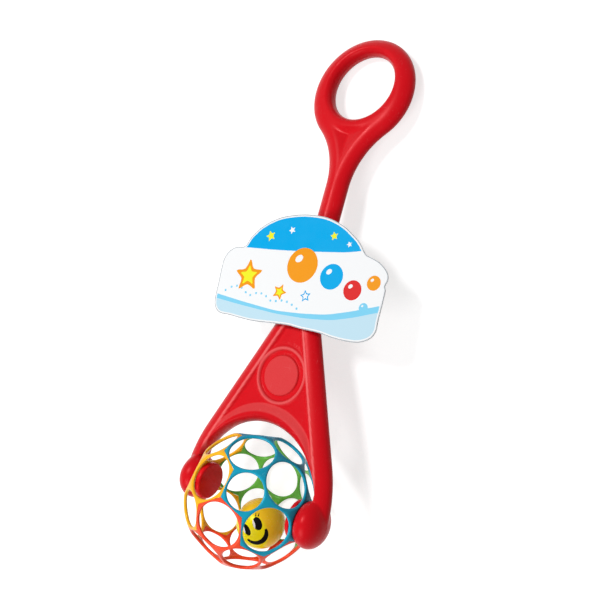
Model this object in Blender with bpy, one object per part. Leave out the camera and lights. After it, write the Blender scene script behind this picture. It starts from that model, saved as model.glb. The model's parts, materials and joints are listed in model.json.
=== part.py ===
"""Toddler push toy: a hoop handle whose two arms carry an open cage ball with a smiling ball inside.

The toy lies face up on a floor, on its cage ball and on the far side of its grip hoop.
+X runs along the ball's axle, +Y from the ball to the grip, +Z up. The handle is drawn in its own
plane, with the ball's centre as origin, and that plane then leans down towards the grip.
All lengths are in metres and all angles in radians.
"""
from math import acos, asin, atan2, cos, hypot, isclose, pi, radians, sin, sqrt, tan

import bmesh
import bpy
from mathutils import Matrix, Vector
from mathutils.geometry import tessellate_polygon

# Clearances that several pieces share
TOUCH_GAP = 0.0003
RUNNING_GAP = 0.0005

# How far cutting shapes run past a face, each by its own amount so that no two end in one plane
CUT_OVERRUN = 0.002
CAVITY_OVERRUN = 0.004
DRILL_OVERRUN = 0.005
BOSS_OVERRUN = 0.006

# Booleans are solved on shapes this many times larger, well above the solver's merge distance
SOLVER_SCALE = 100

# Cage ball: 12 pentagon and 20 hexagon fields, each with one round hole a share of the ball's radius wide
CAGE_RADIUS = 0.064
CAGE_WALL = 0.0032
HEXAGON_HOLE_SHARE = 0.333
PENTAGON_HOLE_SHARE = 0.264
CAGE_TURN = radians(17.2)

# Handle outline, in the handle's plane; the stem runs from the arch's crown to the grip hole's centre
STEM_LENGTH = 0.3462
GRIP_OUTER_RADIUS = 0.0565
GRIP_TUBE_WIDTH = 0.0218
GRIP_OUTER_DROP = 0.0051
NECK_RADIUS = 0.078
STICK_WIDTH = 0.0248
FLARE_RADIUS = 0.140
ARM_LEAN = radians(23)
ARM_CURVE_RADIUS = 0.1388
ARCH_CLEARANCE = 0.0095
ARM_END_ANGLE = radians(22)

# Handle section
HANDLE_THICKNESS = 0.020
EDGE_ROUND_SHARE = 0.785
HANDLE_WALL = 0.0025

# Sunk web with its medallion, on the front of the handle
RIDGE_WIDTH = 0.0152
WEB_DEPTH = 0.003
WEB_RISE = 0.019
MEDALLION_RISE = 0.047
MEDALLION_SHARE = 0.949
MEDALLION_RIM_WIDTH = 0.0024
MEDALLION_RIM_HEIGHT = 0.0018
MEDALLION_MOAT_WIDTH = 0.0067
MEDALLION_DISC_HEIGHT = 0.0012
MEDALLION_SLOPE = 0.0008

# Round pods at the ends of the arms
POD_RADIUS = 0.0215
POD_REACH = 0.0238
POD_OVAL_SHARE = 0.651

# Axle: journal held in the pod, cap inside the ball, one screw through both
SPIGOT_RADIUS = 0.009
COLLAR_RADIUS = 0.0115
COLLAR_WIDTH = 0.0023
CAP_LIP = 0.0024
CAP_THICKNESS = 0.005
CAP_ROUND = 0.002

# Self-tapping screws
SCREW_SHANK_RADIUS = 0.0013
SCREW_HEAD_RADIUS = 0.0027
SCREW_HEAD_HEIGHT = 0.0016
SCREW_CROWN_SHARE = 0.8
SCREW_BRIM_SHARE = 0.5
BOSS_WALL = 0.002
SCREW_SEAT_DEPTH = 0.0035
SCREW_REACH = 0.0042
CAP_SCREW_REACH = 0.0035
ARM_SCREW_SHARE = 0.653
BROW_SCREW_OFFSET = 0.028
NECK_SCREW_OFFSET = 0.053
STICK_SCREW_OFFSET = 0.130
FLARE_SCREW_RISE = 0.1415
WEB_SCREW_RISE = 0.0815

# Smiling ball and what rattles in it
SMILEY_RADIUS = 0.024
SMILEY_WALL = 0.0018
SMILEY_LEAN = radians(42.6)
FACE_DIRECTION = Vector((0.40, -0.43, 0.81))
BELL_RADIUS = 0.008
BELL_WALL = 0.0007
BELL_MOUTH_RADIUS = 0.0022
PELLET_RADIUS = 0.003

# Hang tag: a die-cut card held on the stick by a card strap
TAG_WIDTH = 0.195
TAG_HEIGHT = 0.1149
TAG_FOOT_DROP = 0.0826
TAG_SHIFT = -0.0056
CARD_THICKNESS = 0.0008
CARD_STANDOFF = 0.0046
STRAP_WIDTH = 0.036
STRAP_THICKNESS = 0.0006
STRAP_TAB = 0.014
STRAP_RISE = 0.0169
STRAP_ROUND = 0.004

# Fineness of curved faces
FIELD_SIDE_STEPS = 3
ARC_STEP = radians(12)
POD_ARC_STEP = radians(18)
HOLLOW_ARC_STEP = radians(24)
PELLET_ARC_STEP = radians(30)
EDGE_STEPS = 3
CAVITY_STEPS = 1
TURN_STEPS = 24
HOLLOW_TURN_STEPS = 16
SCREW_STEPS = 10
GRIP_HOLE_STEPS = 28
WEB_SEARCH_STEPS = 200
TAG_CURVE_STEPS = 2

# Share of the touching gap that each cage panel draws back from a border it shares
SEAM_SHARE = 0.6

# Share of a step by which the journals' holes are turned, so that no corner meets a pod's edge
HOLE_AHEAD_SHARE = 1 / 3

# Tag outline, clockwise from the left foot: shares of half the width and of the height
TAG_SHARES = (
    (-0.939, 0.048), (-0.973, 0.120), (-0.985, 0.260), (-1.000, 0.402), (-0.999, 0.500),
    (-0.957, 0.569), (-0.882, 0.616), (-0.770, 0.638), (-0.716, 0.731), (-0.605, 0.842),
    (-0.423, 0.937), (-0.206, 0.986), (-0.024, 1.000), (0.164, 0.991), (0.352, 0.943),
    (0.490, 0.878), (0.591, 0.817), (0.684, 0.734), (0.756, 0.712), (0.856, 0.682),
    (0.951, 0.623), (0.986, 0.563), (0.972, 0.505), (0.990, 0.463), (0.994, 0.343),
    (0.996, 0.225), (1.000, 0.144), (0.959, 0.080), (0.858, 0.033), (0.733, 0.019),
    (0.565, 0.019), (0.399, 0.033), (0.174, 0.032), (0.037, 0.036), (-0.122, 0.025),
    (-0.412, 0.001), (-0.574, 0.000), (-0.728, 0.004), (-0.862, 0.004))

# Colours as linear red, green and blue
RED = (0.745, 0.013, 0.021)
DEEP_RED = (0.55, 0.010, 0.016)
BLUE = (0.010, 0.283, 0.491)
YELLOW = (0.956, 0.485, 0.012)
ORANGE = (0.831, 0.060, 0.016)
GREEN = (0.127, 0.376, 0.047)
SMILEY_YELLOW = (0.95, 0.70, 0.010)
GOLDEN_YELLOW = (0.75, 0.40, 0.015)
STEEL = (0.55, 0.56, 0.58)
BRASS = (0.72, 0.52, 0.20)
CARD_BLUE = (0.03, 0.38, 0.80)
CARD_GREY = (0.66, 0.66, 0.64)

# Sizes that follow from the ones above
HALF_THICKNESS = HANDLE_THICKNESS / 2
PARTING = TOUCH_GAP / 2
STICK_HALF = STICK_WIDTH / 2
ARCH_RADIUS = CAGE_RADIUS + ARCH_CLEARANCE
GRIP_DISTANCE = ARCH_RADIUS + STEM_LENGTH
GRIP_HOLE_RADIUS = GRIP_OUTER_RADIUS - GRIP_TUBE_WIDTH
GRIP_OUTER_CENTRE = GRIP_DISTANCE - GRIP_OUTER_DROP
GRIP_END = GRIP_OUTER_CENTRE + GRIP_OUTER_RADIUS
MEDALLION_DISTANCE = ARCH_RADIUS + MEDALLION_RISE
CAGE_INNER_RADIUS = CAGE_RADIUS - CAGE_WALL
HEXAGON_HOLE_ANGLE = asin(HEXAGON_HOLE_SHARE)
PENTAGON_HOLE_ANGLE = asin(PENTAGON_HOLE_SHARE)
AXLE_RIM_FAR = CAGE_RADIUS * cos(PENTAGON_HOLE_ANGLE)
AXLE_RIM_BORE = CAGE_INNER_RADIUS * sin(PENTAGON_HOLE_ANGLE)
JOURNAL_RADIUS = AXLE_RIM_BORE * cos(pi / (5 * FIELD_SIDE_STEPS)) - RUNNING_GAP
CAP_RADIUS = AXLE_RIM_BORE + CAP_LIP
CAP_FACE = sqrt(CAGE_INNER_RADIUS ** 2 - CAP_RADIUS ** 2) - RUNNING_GAP
POD_FACE = AXLE_RIM_FAR + RUNNING_GAP
ARM_OUTER = POD_FACE + POD_REACH
POD_HALF_DEPTH = POD_REACH * POD_OVAL_SHARE
POD_CENTRE = ARM_OUTER - POD_HALF_DEPTH
ARM_END_INNER = ARCH_RADIUS * cos(ARM_END_ANGLE)
ARM_END_RADIUS = (ARM_OUTER - ARM_END_INNER) / 2
EDGE_ROUND = ARM_END_RADIUS * EDGE_ROUND_SHARE
PILOT_RADIUS = SCREW_SHANK_RADIUS + TOUCH_GAP
BOSS_RADIUS = PILOT_RADIUS + BOSS_WALL
WELL_RADIUS = SCREW_HEAD_RADIUS + TOUCH_GAP
CAVITY_ROUND = EDGE_ROUND - HANDLE_WALL
SMILEY_ORBIT = CAGE_INNER_RADIUS - SMILEY_RADIUS - RUNNING_GAP
SMILEY_CENTRE = Vector((0, -sin(SMILEY_LEAN), -cos(SMILEY_LEAN))) * SMILEY_ORBIT
WEB_FLOOR = HALF_THICKNESS - WEB_DEPTH


def rest_lean():
    """The lean at which the cage ball and the rounded far end of the grip both touch the floor."""
    reach = GRIP_END - EDGE_ROUND
    flat = HALF_THICKNESS - EDGE_ROUND
    return asin((CAGE_RADIUS - EDGE_ROUND) / hypot(reach, flat)) - atan2(flat, reach)


def plastic(name, colour, roughness=0.28, metallic=0.0):
    """One Principled material with a plain colour."""
    material = bpy.data.materials.new(name)
    material.use_nodes = True
    shader = material.node_tree.nodes["Principled BSDF"]
    shader.inputs["Base Color"].default_value = (*colour, 1)
    shader.inputs["Roughness"].default_value = roughness
    shader.inputs["Metallic"].default_value = metallic
    return material


def empty(name, location, parent=None):
    """An empty that carries pieces."""
    holder = bpy.data.objects.new(name, None)
    holder.location = location
    holder.parent = parent
    bpy.context.collection.objects.link(holder)
    return holder


def piece(name, points, faces, parent, material=None):
    """A closed mesh object with its faces turned outwards."""
    mesh = bpy.data.meshes.new(name)
    mesh.from_pydata([tuple(point) for point in points], [], faces)
    form = bmesh.new()
    form.from_mesh(mesh)
    bmesh.ops.recalc_face_normals(form, faces=form.faces)
    form.to_mesh(mesh)
    form.free()
    body = bpy.data.objects.new(name, mesh)
    bpy.context.collection.objects.link(body)
    body.parent = parent
    if material:
        mesh.materials.append(material)
    return body


def finish(body, crease=radians(35)):
    """Smooth shading with the sharp edges kept."""
    body.data.shade_smooth()
    body.data.set_sharp_from_angle(angle=crease)
    return body


def combine(body, tool, operation):
    """Joins a tool to a body, or cuts it away, and removes the tool."""
    for shape in (body, tool):
        shape.data.transform(Matrix.Scale(SOLVER_SCALE, 4))
    modifier = body.modifiers.new(operation.title(), "BOOLEAN")
    modifier.operation = operation
    modifier.solver = "EXACT"
    modifier.object = tool
    solid = body.evaluated_get(bpy.context.evaluated_depsgraph_get())
    mesh = bpy.data.meshes.new_from_object(solid)
    body.modifiers.clear()
    mesh.transform(Matrix.Scale(1 / SOLVER_SCALE, 4))
    body.data = mesh
    bpy.data.objects.remove(tool)
    return body


def turned(profile, steps, ahead=0):
    """Points and faces of a profile of (height, radius) turned about Z; ends on the axis close it.

    Ahead is the share of a step by which the first corner lies past +X.
    """
    points, rings, faces = [], [], []
    for height, radius in profile:
        if radius == 0:
            rings.append([len(points)])
            points.append(Vector((0, 0, height)))
            continue
        rings.append(list(range(len(points), len(points) + steps)))
        for step in range(steps):
            angle = 2 * pi * (step + ahead) / steps
            points.append(Vector((radius * cos(angle), radius * sin(angle), height)))
    for low, high in zip(rings, rings[1:] + rings[:1]):
        if len(low) == 1 and len(high) == 1:
            continue
        for step in range(steps):
            after = (step + 1) % steps
            corners = [low[step % len(low)], low[after % len(low)],
                       high[after % len(high)], high[step % len(high)]]
            faces.append(list(dict.fromkeys(corners)))
    return points, faces


def along(direction, origin=Vector()):
    """The matrix that turns +Z to a direction and moves to an origin."""
    return Matrix.Translation(origin) @ direction.to_track_quat("Z", "Y").to_matrix().to_4x4()


def turned_piece(name, profile, direction, origin, parent, material=None, steps=TURN_STEPS):
    """A turned piece whose axis runs along a direction from an origin."""
    points, faces = turned(profile, steps)
    place = along(Vector(direction), Vector(origin))
    return piece(name, [place @ point for point in points], faces, parent, material)


def drum(low, high, radius):
    """The profile of a plain cylinder."""
    return [(low, 0), (low, radius), (high, radius), (high, 0)]


def arc(centre_x, centre_y, radius, start, end):
    """Points along an arc, both ends included."""
    steps = max(2, round(abs(end - start) / ARC_STEP))
    angles = [start + (end - start) * step / steps for step in range(steps + 1)]
    return [Vector((centre_x + radius * cos(a), centre_y + radius * sin(a))) for a in angles]


def neck_centre():
    """The centre of the hollow arc between the grip hoop and the stick."""
    across = STICK_HALF + NECK_RADIUS
    down = sqrt((GRIP_OUTER_RADIUS + NECK_RADIUS) ** 2 - across ** 2)
    return across, GRIP_OUTER_CENTRE - down


def arm_side(height):
    """Half the handle's width at a height on the straight, leaning side of the arms."""
    start_x = ARM_OUTER - ARM_CURVE_RADIUS * (1 - cos(ARM_LEAN))
    start_y = ARM_CURVE_RADIUS * sin(ARM_LEAN)
    return start_x - (height - start_y) * tan(ARM_LEAN)


def flare_centre():
    """The centre of the hollow arc between the stick and the leaning side of the arms."""
    start = ARM_CURVE_RADIUS * sin(ARM_LEAN)
    meeting = start + (arm_side(start) - STICK_HALF) / tan(ARM_LEAN)
    return STICK_HALF + FLARE_RADIUS, meeting + FLARE_RADIUS * tan(ARM_LEAN / 2)


def right_outline():
    """The handle's outline on the +X side, from the top of the grip to the crown of the arch."""
    neck_x, neck_y = neck_centre()
    flare_x, flare_y = flare_centre()
    turn = atan2(neck_y - GRIP_OUTER_CENTRE, neck_x)
    outline = arc(0, GRIP_OUTER_CENTRE, GRIP_OUTER_RADIUS, pi / 2, turn)
    outline += arc(neck_x, neck_y, NECK_RADIUS, turn + pi, pi)[1:]
    outline += arc(flare_x, flare_y, FLARE_RADIUS, pi, pi + ARM_LEAN)
    outline += arc(ARM_OUTER - ARM_CURVE_RADIUS, 0, ARM_CURVE_RADIUS, ARM_LEAN, 0)
    outline += arc(ARM_END_INNER + ARM_END_RADIUS, 0, ARM_END_RADIUS, 0, -pi)[1:]
    outline += arc(0, 0, ARCH_RADIUS, ARM_END_ANGLE, pi / 2)
    return outline


def handle_outline():
    """The closed outline of the handle."""
    right = right_outline()
    left = [Vector((-point.x, point.y)) for point in reversed(right[1:-1])]
    return right + left


def grip_hole():
    """The hole of the grip, with material outside it."""
    angles = [2 * pi * step / GRIP_HOLE_STEPS for step in range(GRIP_HOLE_STEPS)]
    return [Vector((GRIP_HOLE_RADIUS * cos(a), GRIP_DISTANCE + GRIP_HOLE_RADIUS * sin(a))) for a in angles]


def inset(outline, distance):
    """A closed outline moved into its material, which lies to the right of its run."""
    moved = []
    for before, here, after in zip(outline[-1:] + outline[:-1], outline, outline[1:] + outline[:1]):
        first = (here - before).normalized()
        second = (after - here).normalized()
        bisector = Vector((first.y + second.y, -first.x - second.x)).normalized()
        stretch = bisector.dot(Vector((first.y, -first.x)))
        moved.append(here + bisector * distance / stretch)
    return moved


def plate(name, outlines, levels, side, parent, material=None):
    """A solid built from outlines that are inset level by level; side -1 mirrors it to the back."""
    points, faces, stacks = [], [], []
    for depth, height in levels:
        stack = []
        for outline in outlines:
            loop = inset(outline, depth)
            stack.append(list(range(len(points), len(points) + len(loop))))
            points += [Vector((point.x, point.y, side * height)) for point in loop]
        stacks.append(stack)
    for lower, upper in zip(stacks, stacks[1:]):
        for low, high in zip(lower, upper):
            for step in range(len(low)):
                after = (step + 1) % len(low)
                faces.append([low[step], low[after], high[after], high[step]])
    for stack in (stacks[0], stacks[-1]):
        flat = [index for loop in stack for index in loop]
        cap = tessellate_polygon([[points[index] for index in loop] for loop in stack])
        faces += [[flat[corner] for corner in triangle] for triangle in cap]
    return piece(name, points, faces, parent, material)


def edge_levels(start, depth, top, rounding, steps):
    """Levels of (inset, height) up a rounded edge, from a start height to the top."""
    bends = [pi / 2 * step / steps for step in range(steps + 1)]
    rounded = [(depth + rounding * (1 - cos(bend)), top - rounding * (1 - sin(bend))) for bend in bends]
    return [(depth, start)] + rounded


def web_outline(margin=0):
    """The sunk field between the arms' ridges, above the arch; a margin grows it."""
    corner_x, corner_y = STICK_HALF, 0
    for step in range(1, WEB_SEARCH_STEPS):
        bend = pi / 2 * step / WEB_SEARCH_STEPS
        height = WEB_RISE + ARCH_RADIUS * sin(bend)
        if arm_side(height) - RIDGE_WIDTH < ARCH_RADIUS * cos(bend):
            corner_x, corner_y = arm_side(height) - RIDGE_WIDTH, height
    floor = arc(0, WEB_RISE, ARCH_RADIUS, atan2(corner_y - WEB_RISE, corner_x), pi / 2)
    peak = corner_y + corner_x / tan(ARM_LEAN)
    right = [Vector((0, peak))] + floor
    left = [Vector((-point.x, point.y)) for point in reversed(floor[:-1])]
    return inset(right + left, -margin)


def medallion(parent):
    """The raised ring and flat disc on the web, which they nearly fill from ridge to ridge."""
    rim_outer = MEDALLION_SHARE * (arm_side(MEDALLION_DISTANCE) - RIDGE_WIDTH / cos(ARM_LEAN))
    rim_inner = rim_outer - MEDALLION_RIM_WIDTH
    disc = rim_inner - MEDALLION_MOAT_WIDTH
    rim_top = WEB_FLOOR + MEDALLION_RIM_HEIGHT
    disc_top = WEB_FLOOR + MEDALLION_DISC_HEIGHT
    root = WEB_FLOOR - HANDLE_WALL / 2
    moat = WEB_FLOOR + TOUCH_GAP
    profile = [(root, 0), (root, rim_outer), (WEB_FLOOR, rim_outer), (rim_top, rim_outer - MEDALLION_SLOPE),
               (rim_top, rim_inner + MEDALLION_SLOPE), (moat, rim_inner), (moat, disc),
               (disc_top, disc - MEDALLION_SLOPE), (disc_top, 0)]
    return turned_piece("medallion", profile, (0, 0, 1), (0, MEDALLION_DISTANCE, 0), parent)


def pod_profile(face, shrink):
    """An oval pod about the axle, flat towards the ball; shrink gives the hollow inside it."""
    half_depth = POD_HALF_DEPTH - shrink
    radius = POD_RADIUS - shrink
    start = acos((face - POD_CENTRE) / half_depth)
    steps = round(start / POD_ARC_STEP)
    bends = [start * (1 - step / steps) for step in range(steps)]
    oval = [(POD_CENTRE + half_depth * cos(bend), radius * sin(bend)) for bend in bends]
    return [(face, 0)] + oval + [(POD_CENTRE + half_depth, 0)]


def pods(face, shrink, parent, steps):
    """Both pods as one tool."""
    tools = []
    for side in (1, -1):
        points, faces = turned(pod_profile(face, shrink), steps)
        place = along(Vector((side, 0, 0)))
        tools.append(([place @ point for point in points], faces))
    return joined("pods", tools, parent)


def joined(name, tools, parent):
    """Several separate solids in one tool."""
    points, faces = [], []
    for some_points, some_faces in tools:
        start = len(points)
        points += some_points
        faces += [[start + corner for corner in face] for face in some_faces]
    return piece(name, points, faces, parent)


def handle_screw_places():
    """Where the handle's screws stand in the handle's plane."""
    arm_y = ARCH_RADIUS * ARM_SCREW_SHARE
    arm_x = (sqrt(ARCH_RADIUS ** 2 - arm_y ** 2) + ARM_OUTER
             - ARM_CURVE_RADIUS + sqrt(ARM_CURVE_RADIUS ** 2 - arm_y ** 2)) / 2
    brow = (ARCH_RADIUS + EDGE_ROUND + WEB_RISE + ARCH_RADIUS) / 2
    brow_y = sqrt(brow ** 2 - BROW_SCREW_OFFSET ** 2) - TOUCH_GAP
    return [(0, GRIP_DISTANCE - NECK_SCREW_OFFSET), (0, GRIP_DISTANCE - STICK_SCREW_OFFSET),
            (0, ARCH_RADIUS + FLARE_SCREW_RISE), (0, ARCH_RADIUS + WEB_SCREW_RISE),
            (-BROW_SCREW_OFFSET, brow_y), (BROW_SCREW_OFFSET, brow_y),
            (-arm_x, arm_y), (arm_x, arm_y)]


def posts(profile, parent):
    """A turned post or drill at each screw place, as one tool."""
    tools = []
    for across, up in handle_screw_places():
        points, faces = turned(profile, SCREW_STEPS)
        tools.append(([point + Vector((across, up, 0)) for point in points], faces))
    return joined("posts", tools, parent)


def journal_hole(parent):
    """The holes through the pods' inner walls for the journals' spigots."""
    low = POD_FACE - CUT_OVERRUN
    high = POD_FACE + HANDLE_WALL + CUT_OVERRUN
    tools = []
    for side in (1, -1):
        points, faces = turned(drum(low, high, SPIGOT_RADIUS + TOUCH_GAP), TURN_STEPS, HOLE_AHEAD_SHARE)
        place = along(Vector((side, 0, 0)))
        tools.append(([place @ point for point in points], faces))
    return joined("journal_holes", tools, parent)


def block(name, lows, highs, parent):
    """A plain box."""
    ends = list(zip(lows, highs))
    corners = [(x, y, z) for x in ends[0] for y in ends[1] for z in ends[2]]
    faces = [(0, 1, 3, 2), (4, 6, 7, 5), (0, 4, 5, 1), (2, 3, 7, 6), (0, 2, 6, 4), (1, 5, 7, 3)]
    return piece(name, corners, faces, parent)


def other_half(side, parent):
    """A box round all that lies beyond the parting plane, seen from one half."""
    over = CUT_OVERRUN
    near = side * PARTING
    beyond = -side * (POD_RADIUS + over)
    lows = (-ARM_OUTER - over, -POD_RADIUS - over, min(near, beyond))
    highs = (ARM_OUTER + over, GRIP_END + over, max(near, beyond))
    return block("other_half", lows, highs, parent)


def handle_shell(name, side, parent, material):
    """One hollow half of the handle: side 1 is the front, -1 the back."""
    outlines = [handle_outline(), grip_hole()]
    outer = edge_levels(-CUT_OVERRUN, 0, HALF_THICKNESS, EDGE_ROUND, EDGE_STEPS)
    ceiling = HALF_THICKNESS - HANDLE_WALL
    inner = edge_levels(-CAVITY_OVERRUN, HANDLE_WALL, ceiling, CAVITY_ROUND, CAVITY_STEPS)
    shell = plate(name, outlines, outer, side, parent)
    combine(shell, pods(POD_FACE, 0, parent, TURN_STEPS), "UNION")
    cavity = plate("cavity", outlines, inner, side, parent)
    combine(cavity, pods(POD_FACE + HANDLE_WALL, HANDLE_WALL, parent, HOLLOW_TURN_STEPS), "UNION")
    combine(cavity, journal_hole(parent), "UNION")
    if side > 0:
        backing = [(0, WEB_FLOOR - HANDLE_WALL), (0, HALF_THICKNESS)]
        combine(cavity, plate("backing", [web_outline(HANDLE_WALL)], backing, side, parent), "DIFFERENCE")
        recess = [(0, WEB_FLOOR), (0, HALF_THICKNESS + CUT_OVERRUN)]
        combine(shell, plate("recess", [web_outline()], recess, side, parent), "DIFFERENCE")
        combine(shell, medallion(parent), "UNION")
        boss = drum(-BOSS_OVERRUN, HALF_THICKNESS, BOSS_RADIUS)
        drill = drum(-DRILL_OVERRUN, SCREW_REACH, PILOT_RADIUS)
    else:
        outside = -HALF_THICKNESS - CUT_OVERRUN
        boss = drum(-HALF_THICKNESS, BOSS_OVERRUN, WELL_RADIUS + BOSS_WALL)
        drill = [(outside, 0), (outside, WELL_RADIUS),
                 (-SCREW_SEAT_DEPTH, WELL_RADIUS), (-SCREW_SEAT_DEPTH, PILOT_RADIUS),
                 (DRILL_OVERRUN, PILOT_RADIUS), (DRILL_OVERRUN, 0)]
    combine(cavity, posts(boss, parent), "DIFFERENCE")
    combine(cavity, posts(drill, parent), "UNION")
    combine(shell, cavity, "DIFFERENCE")
    combine(shell, other_half(side, parent), "DIFFERENCE")
    shell.data.materials.clear()
    shell.data.materials.append(material)
    return finish(shell)


def screw_profile(seat, reach):
    """A pan-head screw along +Z: its head below the seat, its shank up to its tip."""
    head = seat - TOUCH_GAP
    tip = reach - TOUCH_GAP
    crown = head - SCREW_HEAD_HEIGHT
    brim = head - SCREW_HEAD_HEIGHT * SCREW_BRIM_SHARE
    return [(crown, 0), (crown, SCREW_HEAD_RADIUS * SCREW_CROWN_SHARE),
            (brim, SCREW_HEAD_RADIUS), (head, SCREW_HEAD_RADIUS), (head, SCREW_SHANK_RADIUS),
            (tip - SCREW_SHANK_RADIUS, SCREW_SHANK_RADIUS), (tip, 0)]


def handle_screws(parent, material):
    """The screws that hold the two shells together, put in from the back."""
    profile = screw_profile(-SCREW_SEAT_DEPTH, SCREW_REACH)
    for number, (across, up) in enumerate(handle_screw_places(), 1):
        finish(turned_piece(f"handle_screw_{number}", profile, (0, 0, 1), (across, up, 0), parent,
                            material, SCREW_STEPS))


def axle_pieces(word, side, parent, red, deep_red, steel):
    """Journal, inner cap and screw on one side of the ball; heights run outwards along the axle."""
    axis = (side, 0, 0)
    centre = (0, 0, 0)
    shoulder = POD_FACE - TOUCH_GAP
    collar = POD_FACE + HANDLE_WALL + TOUCH_GAP
    collar_end = collar + COLLAR_WIDTH
    inner = CAP_FACE + TOUCH_GAP
    journal = [(inner, PILOT_RADIUS), (inner, JOURNAL_RADIUS), (shoulder, JOURNAL_RADIUS),
               (shoulder, SPIGOT_RADIUS), (collar, SPIGOT_RADIUS), (collar, COLLAR_RADIUS),
               (collar_end, COLLAR_RADIUS), (collar_end, PILOT_RADIUS)]
    finish(turned_piece(f"{word}_axle_journal", journal, axis, centre, parent, deep_red))
    front = CAP_FACE - CAP_THICKNESS
    bends = [pi / 2 * step / EDGE_STEPS for step in range(EDGE_STEPS + 1)]
    corner = [(CAP_ROUND * (1 - cos(bend)), CAP_ROUND * (1 - sin(bend))) for bend in bends]
    edge = [(front + rise, CAP_RADIUS - depth) for rise, depth in corner]
    pilot_end = CAP_FACE - CAP_SCREW_REACH
    cap = [(front, 0)] + edge + [(CAP_FACE, CAP_RADIUS), (CAP_FACE, PILOT_RADIUS),
                                 (pilot_end, PILOT_RADIUS), (pilot_end, 0)]
    finish(turned_piece(f"{word}_axle_cap", cap, axis, centre, parent, red))
    screw = [(-height, radius) for height, radius in screw_profile(-collar_end, -pilot_end)]
    finish(turned_piece(f"{word}_axle_screw", screw, axis, centre, parent, steel, SCREW_STEPS))


def neighbours(first, second):
    """Whether two pentagon fields lie next to each other."""
    return isclose(first.dot(second), 1 / sqrt(5), rel_tol=1e-4)


def ball_fields():
    """Directions of the 12 pentagon and 20 hexagon fields, one pentagon on the axle."""
    golden = (1 + sqrt(5)) / 2
    corners = [Vector(point).normalized() for one in (1, -1) for two in (golden, -golden)
               for point in ((0, one, two), (one, two, 0), (two, 0, one))]
    to_axle = corners[0].rotation_difference(Vector((1, 0, 0))).to_matrix()
    corners = [to_axle @ corner for corner in corners]
    near = [corner for corner in corners if neighbours(corner, Vector((1, 0, 0)))][0]
    turn = Matrix.Rotation(atan2(near.y, near.z) - CAGE_TURN, 3, "X")
    pentagons = [turn @ corner for corner in corners]
    hexagons = []
    for first in range(12):
        for second in range(first):
            for third in range(second):
                one, two, three = pentagons[first], pentagons[second], pentagons[third]
                if neighbours(one, two) and neighbours(two, three) and neighbours(three, one):
                    hexagons.append((one + two + three).normalized())
    return pentagons, hexagons


def panel_of(direction, hearts):
    """The panel that a field belongs to: the nearest heart, or the next one round where three tie."""
    reach = [direction.dot(heart) for heart in hearts]
    opposite = min(range(4), key=lambda index: reach[index])
    if isclose(reach[opposite], -1, rel_tol=1e-4):
        return (opposite + 1) % 4
    return max(range(4), key=lambda index: reach[index])


def panel_hearts(hexagons):
    """The middle hexagons of the orange, blue, yellow and green panels: a regular tetrahedron."""
    blue_aim = CAGE_TURN + pi / 5
    blue = max(hexagons, key=lambda d: d.dot(Vector((1, sin(blue_aim), cos(blue_aim)))))
    yellow = max(hexagons, key=lambda d: d.dot(Vector((-1, sin(CAGE_TURN), cos(CAGE_TURN)))))
    middle = -(blue + yellow) / 2
    offset = blue.cross(yellow).normalized() * sqrt(1 - middle.length_squared)
    two = sorted((middle + offset, middle - offset), key=lambda d: d.y)
    return [two[0], blue, yellow, two[1]]


def cage_panel(name, heart, hearts, fields, corners, parent, material):
    """One coloured panel of the cage: round-holed fields that share their edges."""
    points, faces, places = [], [], {}
    own = [field for field in fields if panel_of(field[0], hearts) == heart]

    def place(key, direction, radius, shift):
        if key not in places:
            places[key] = len(points)
            points.append(direction.normalized() * radius + shift)
        return places[key]

    def border_shift(direction, touching):
        inside = [field[0] for field in touching if panel_of(field[0], hearts) == heart]
        outside = [field[0] for field in touching if panel_of(field[0], hearts) != heart]
        if not outside:
            return Vector()
        pull = sum(inside, Vector()) / len(inside) - sum(outside, Vector()) / len(outside)
        pull -= direction * pull.dot(direction)
        return pull.normalized() * TOUCH_GAP * SEAM_SHARE

    for heading, hole_angle, ring in own:
        count = len(ring)
        rim = []
        for index in range(count):
            start, end = ring[index], ring[(index + 1) % count]
            edge = [field for field in fields if start in field[2] and end in field[2]]
            for step in range(FIELD_SIDE_STEPS):
                share = step / FIELD_SIDE_STEPS
                direction = corners[start].lerp(corners[end], share).normalized()
                touching = edge if step else [field for field in fields if start in field[2]]
                shift = border_shift(direction, touching)
                if start < end:
                    key = (start, end, step)
                else:
                    key = (end, start, FIELD_SIDE_STEPS - step)
                if step == 0:
                    key = (start,)
                across = (direction - heading * direction.dot(heading)).normalized()
                hole = heading * cos(hole_angle) + across * sin(hole_angle)
                border = len(edge) == 2 and panel_of(edge[0][0], hearts) != panel_of(edge[1][0], hearts)
                rim.append((place((key, "out"), direction, CAGE_RADIUS, shift),
                            place((key, "in"), direction, CAGE_INNER_RADIUS, shift),
                            place((tuple(heading), index, step, "out"), hole, CAGE_RADIUS, Vector()),
                            place((tuple(heading), index, step, "in"), hole, CAGE_INNER_RADIUS, Vector()),
                            border))
        for here, after in zip(rim, rim[1:] + rim[:1]):
            faces.append((here[0], after[0], after[2], here[2]))
            faces.append((here[1], here[3], after[3], after[1]))
            faces.append((here[2], after[2], after[3], here[3]))
            if here[4]:
                faces.append((here[0], here[1], after[1], after[0]))
    return finish(piece(name, points, faces, parent, material))


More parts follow.
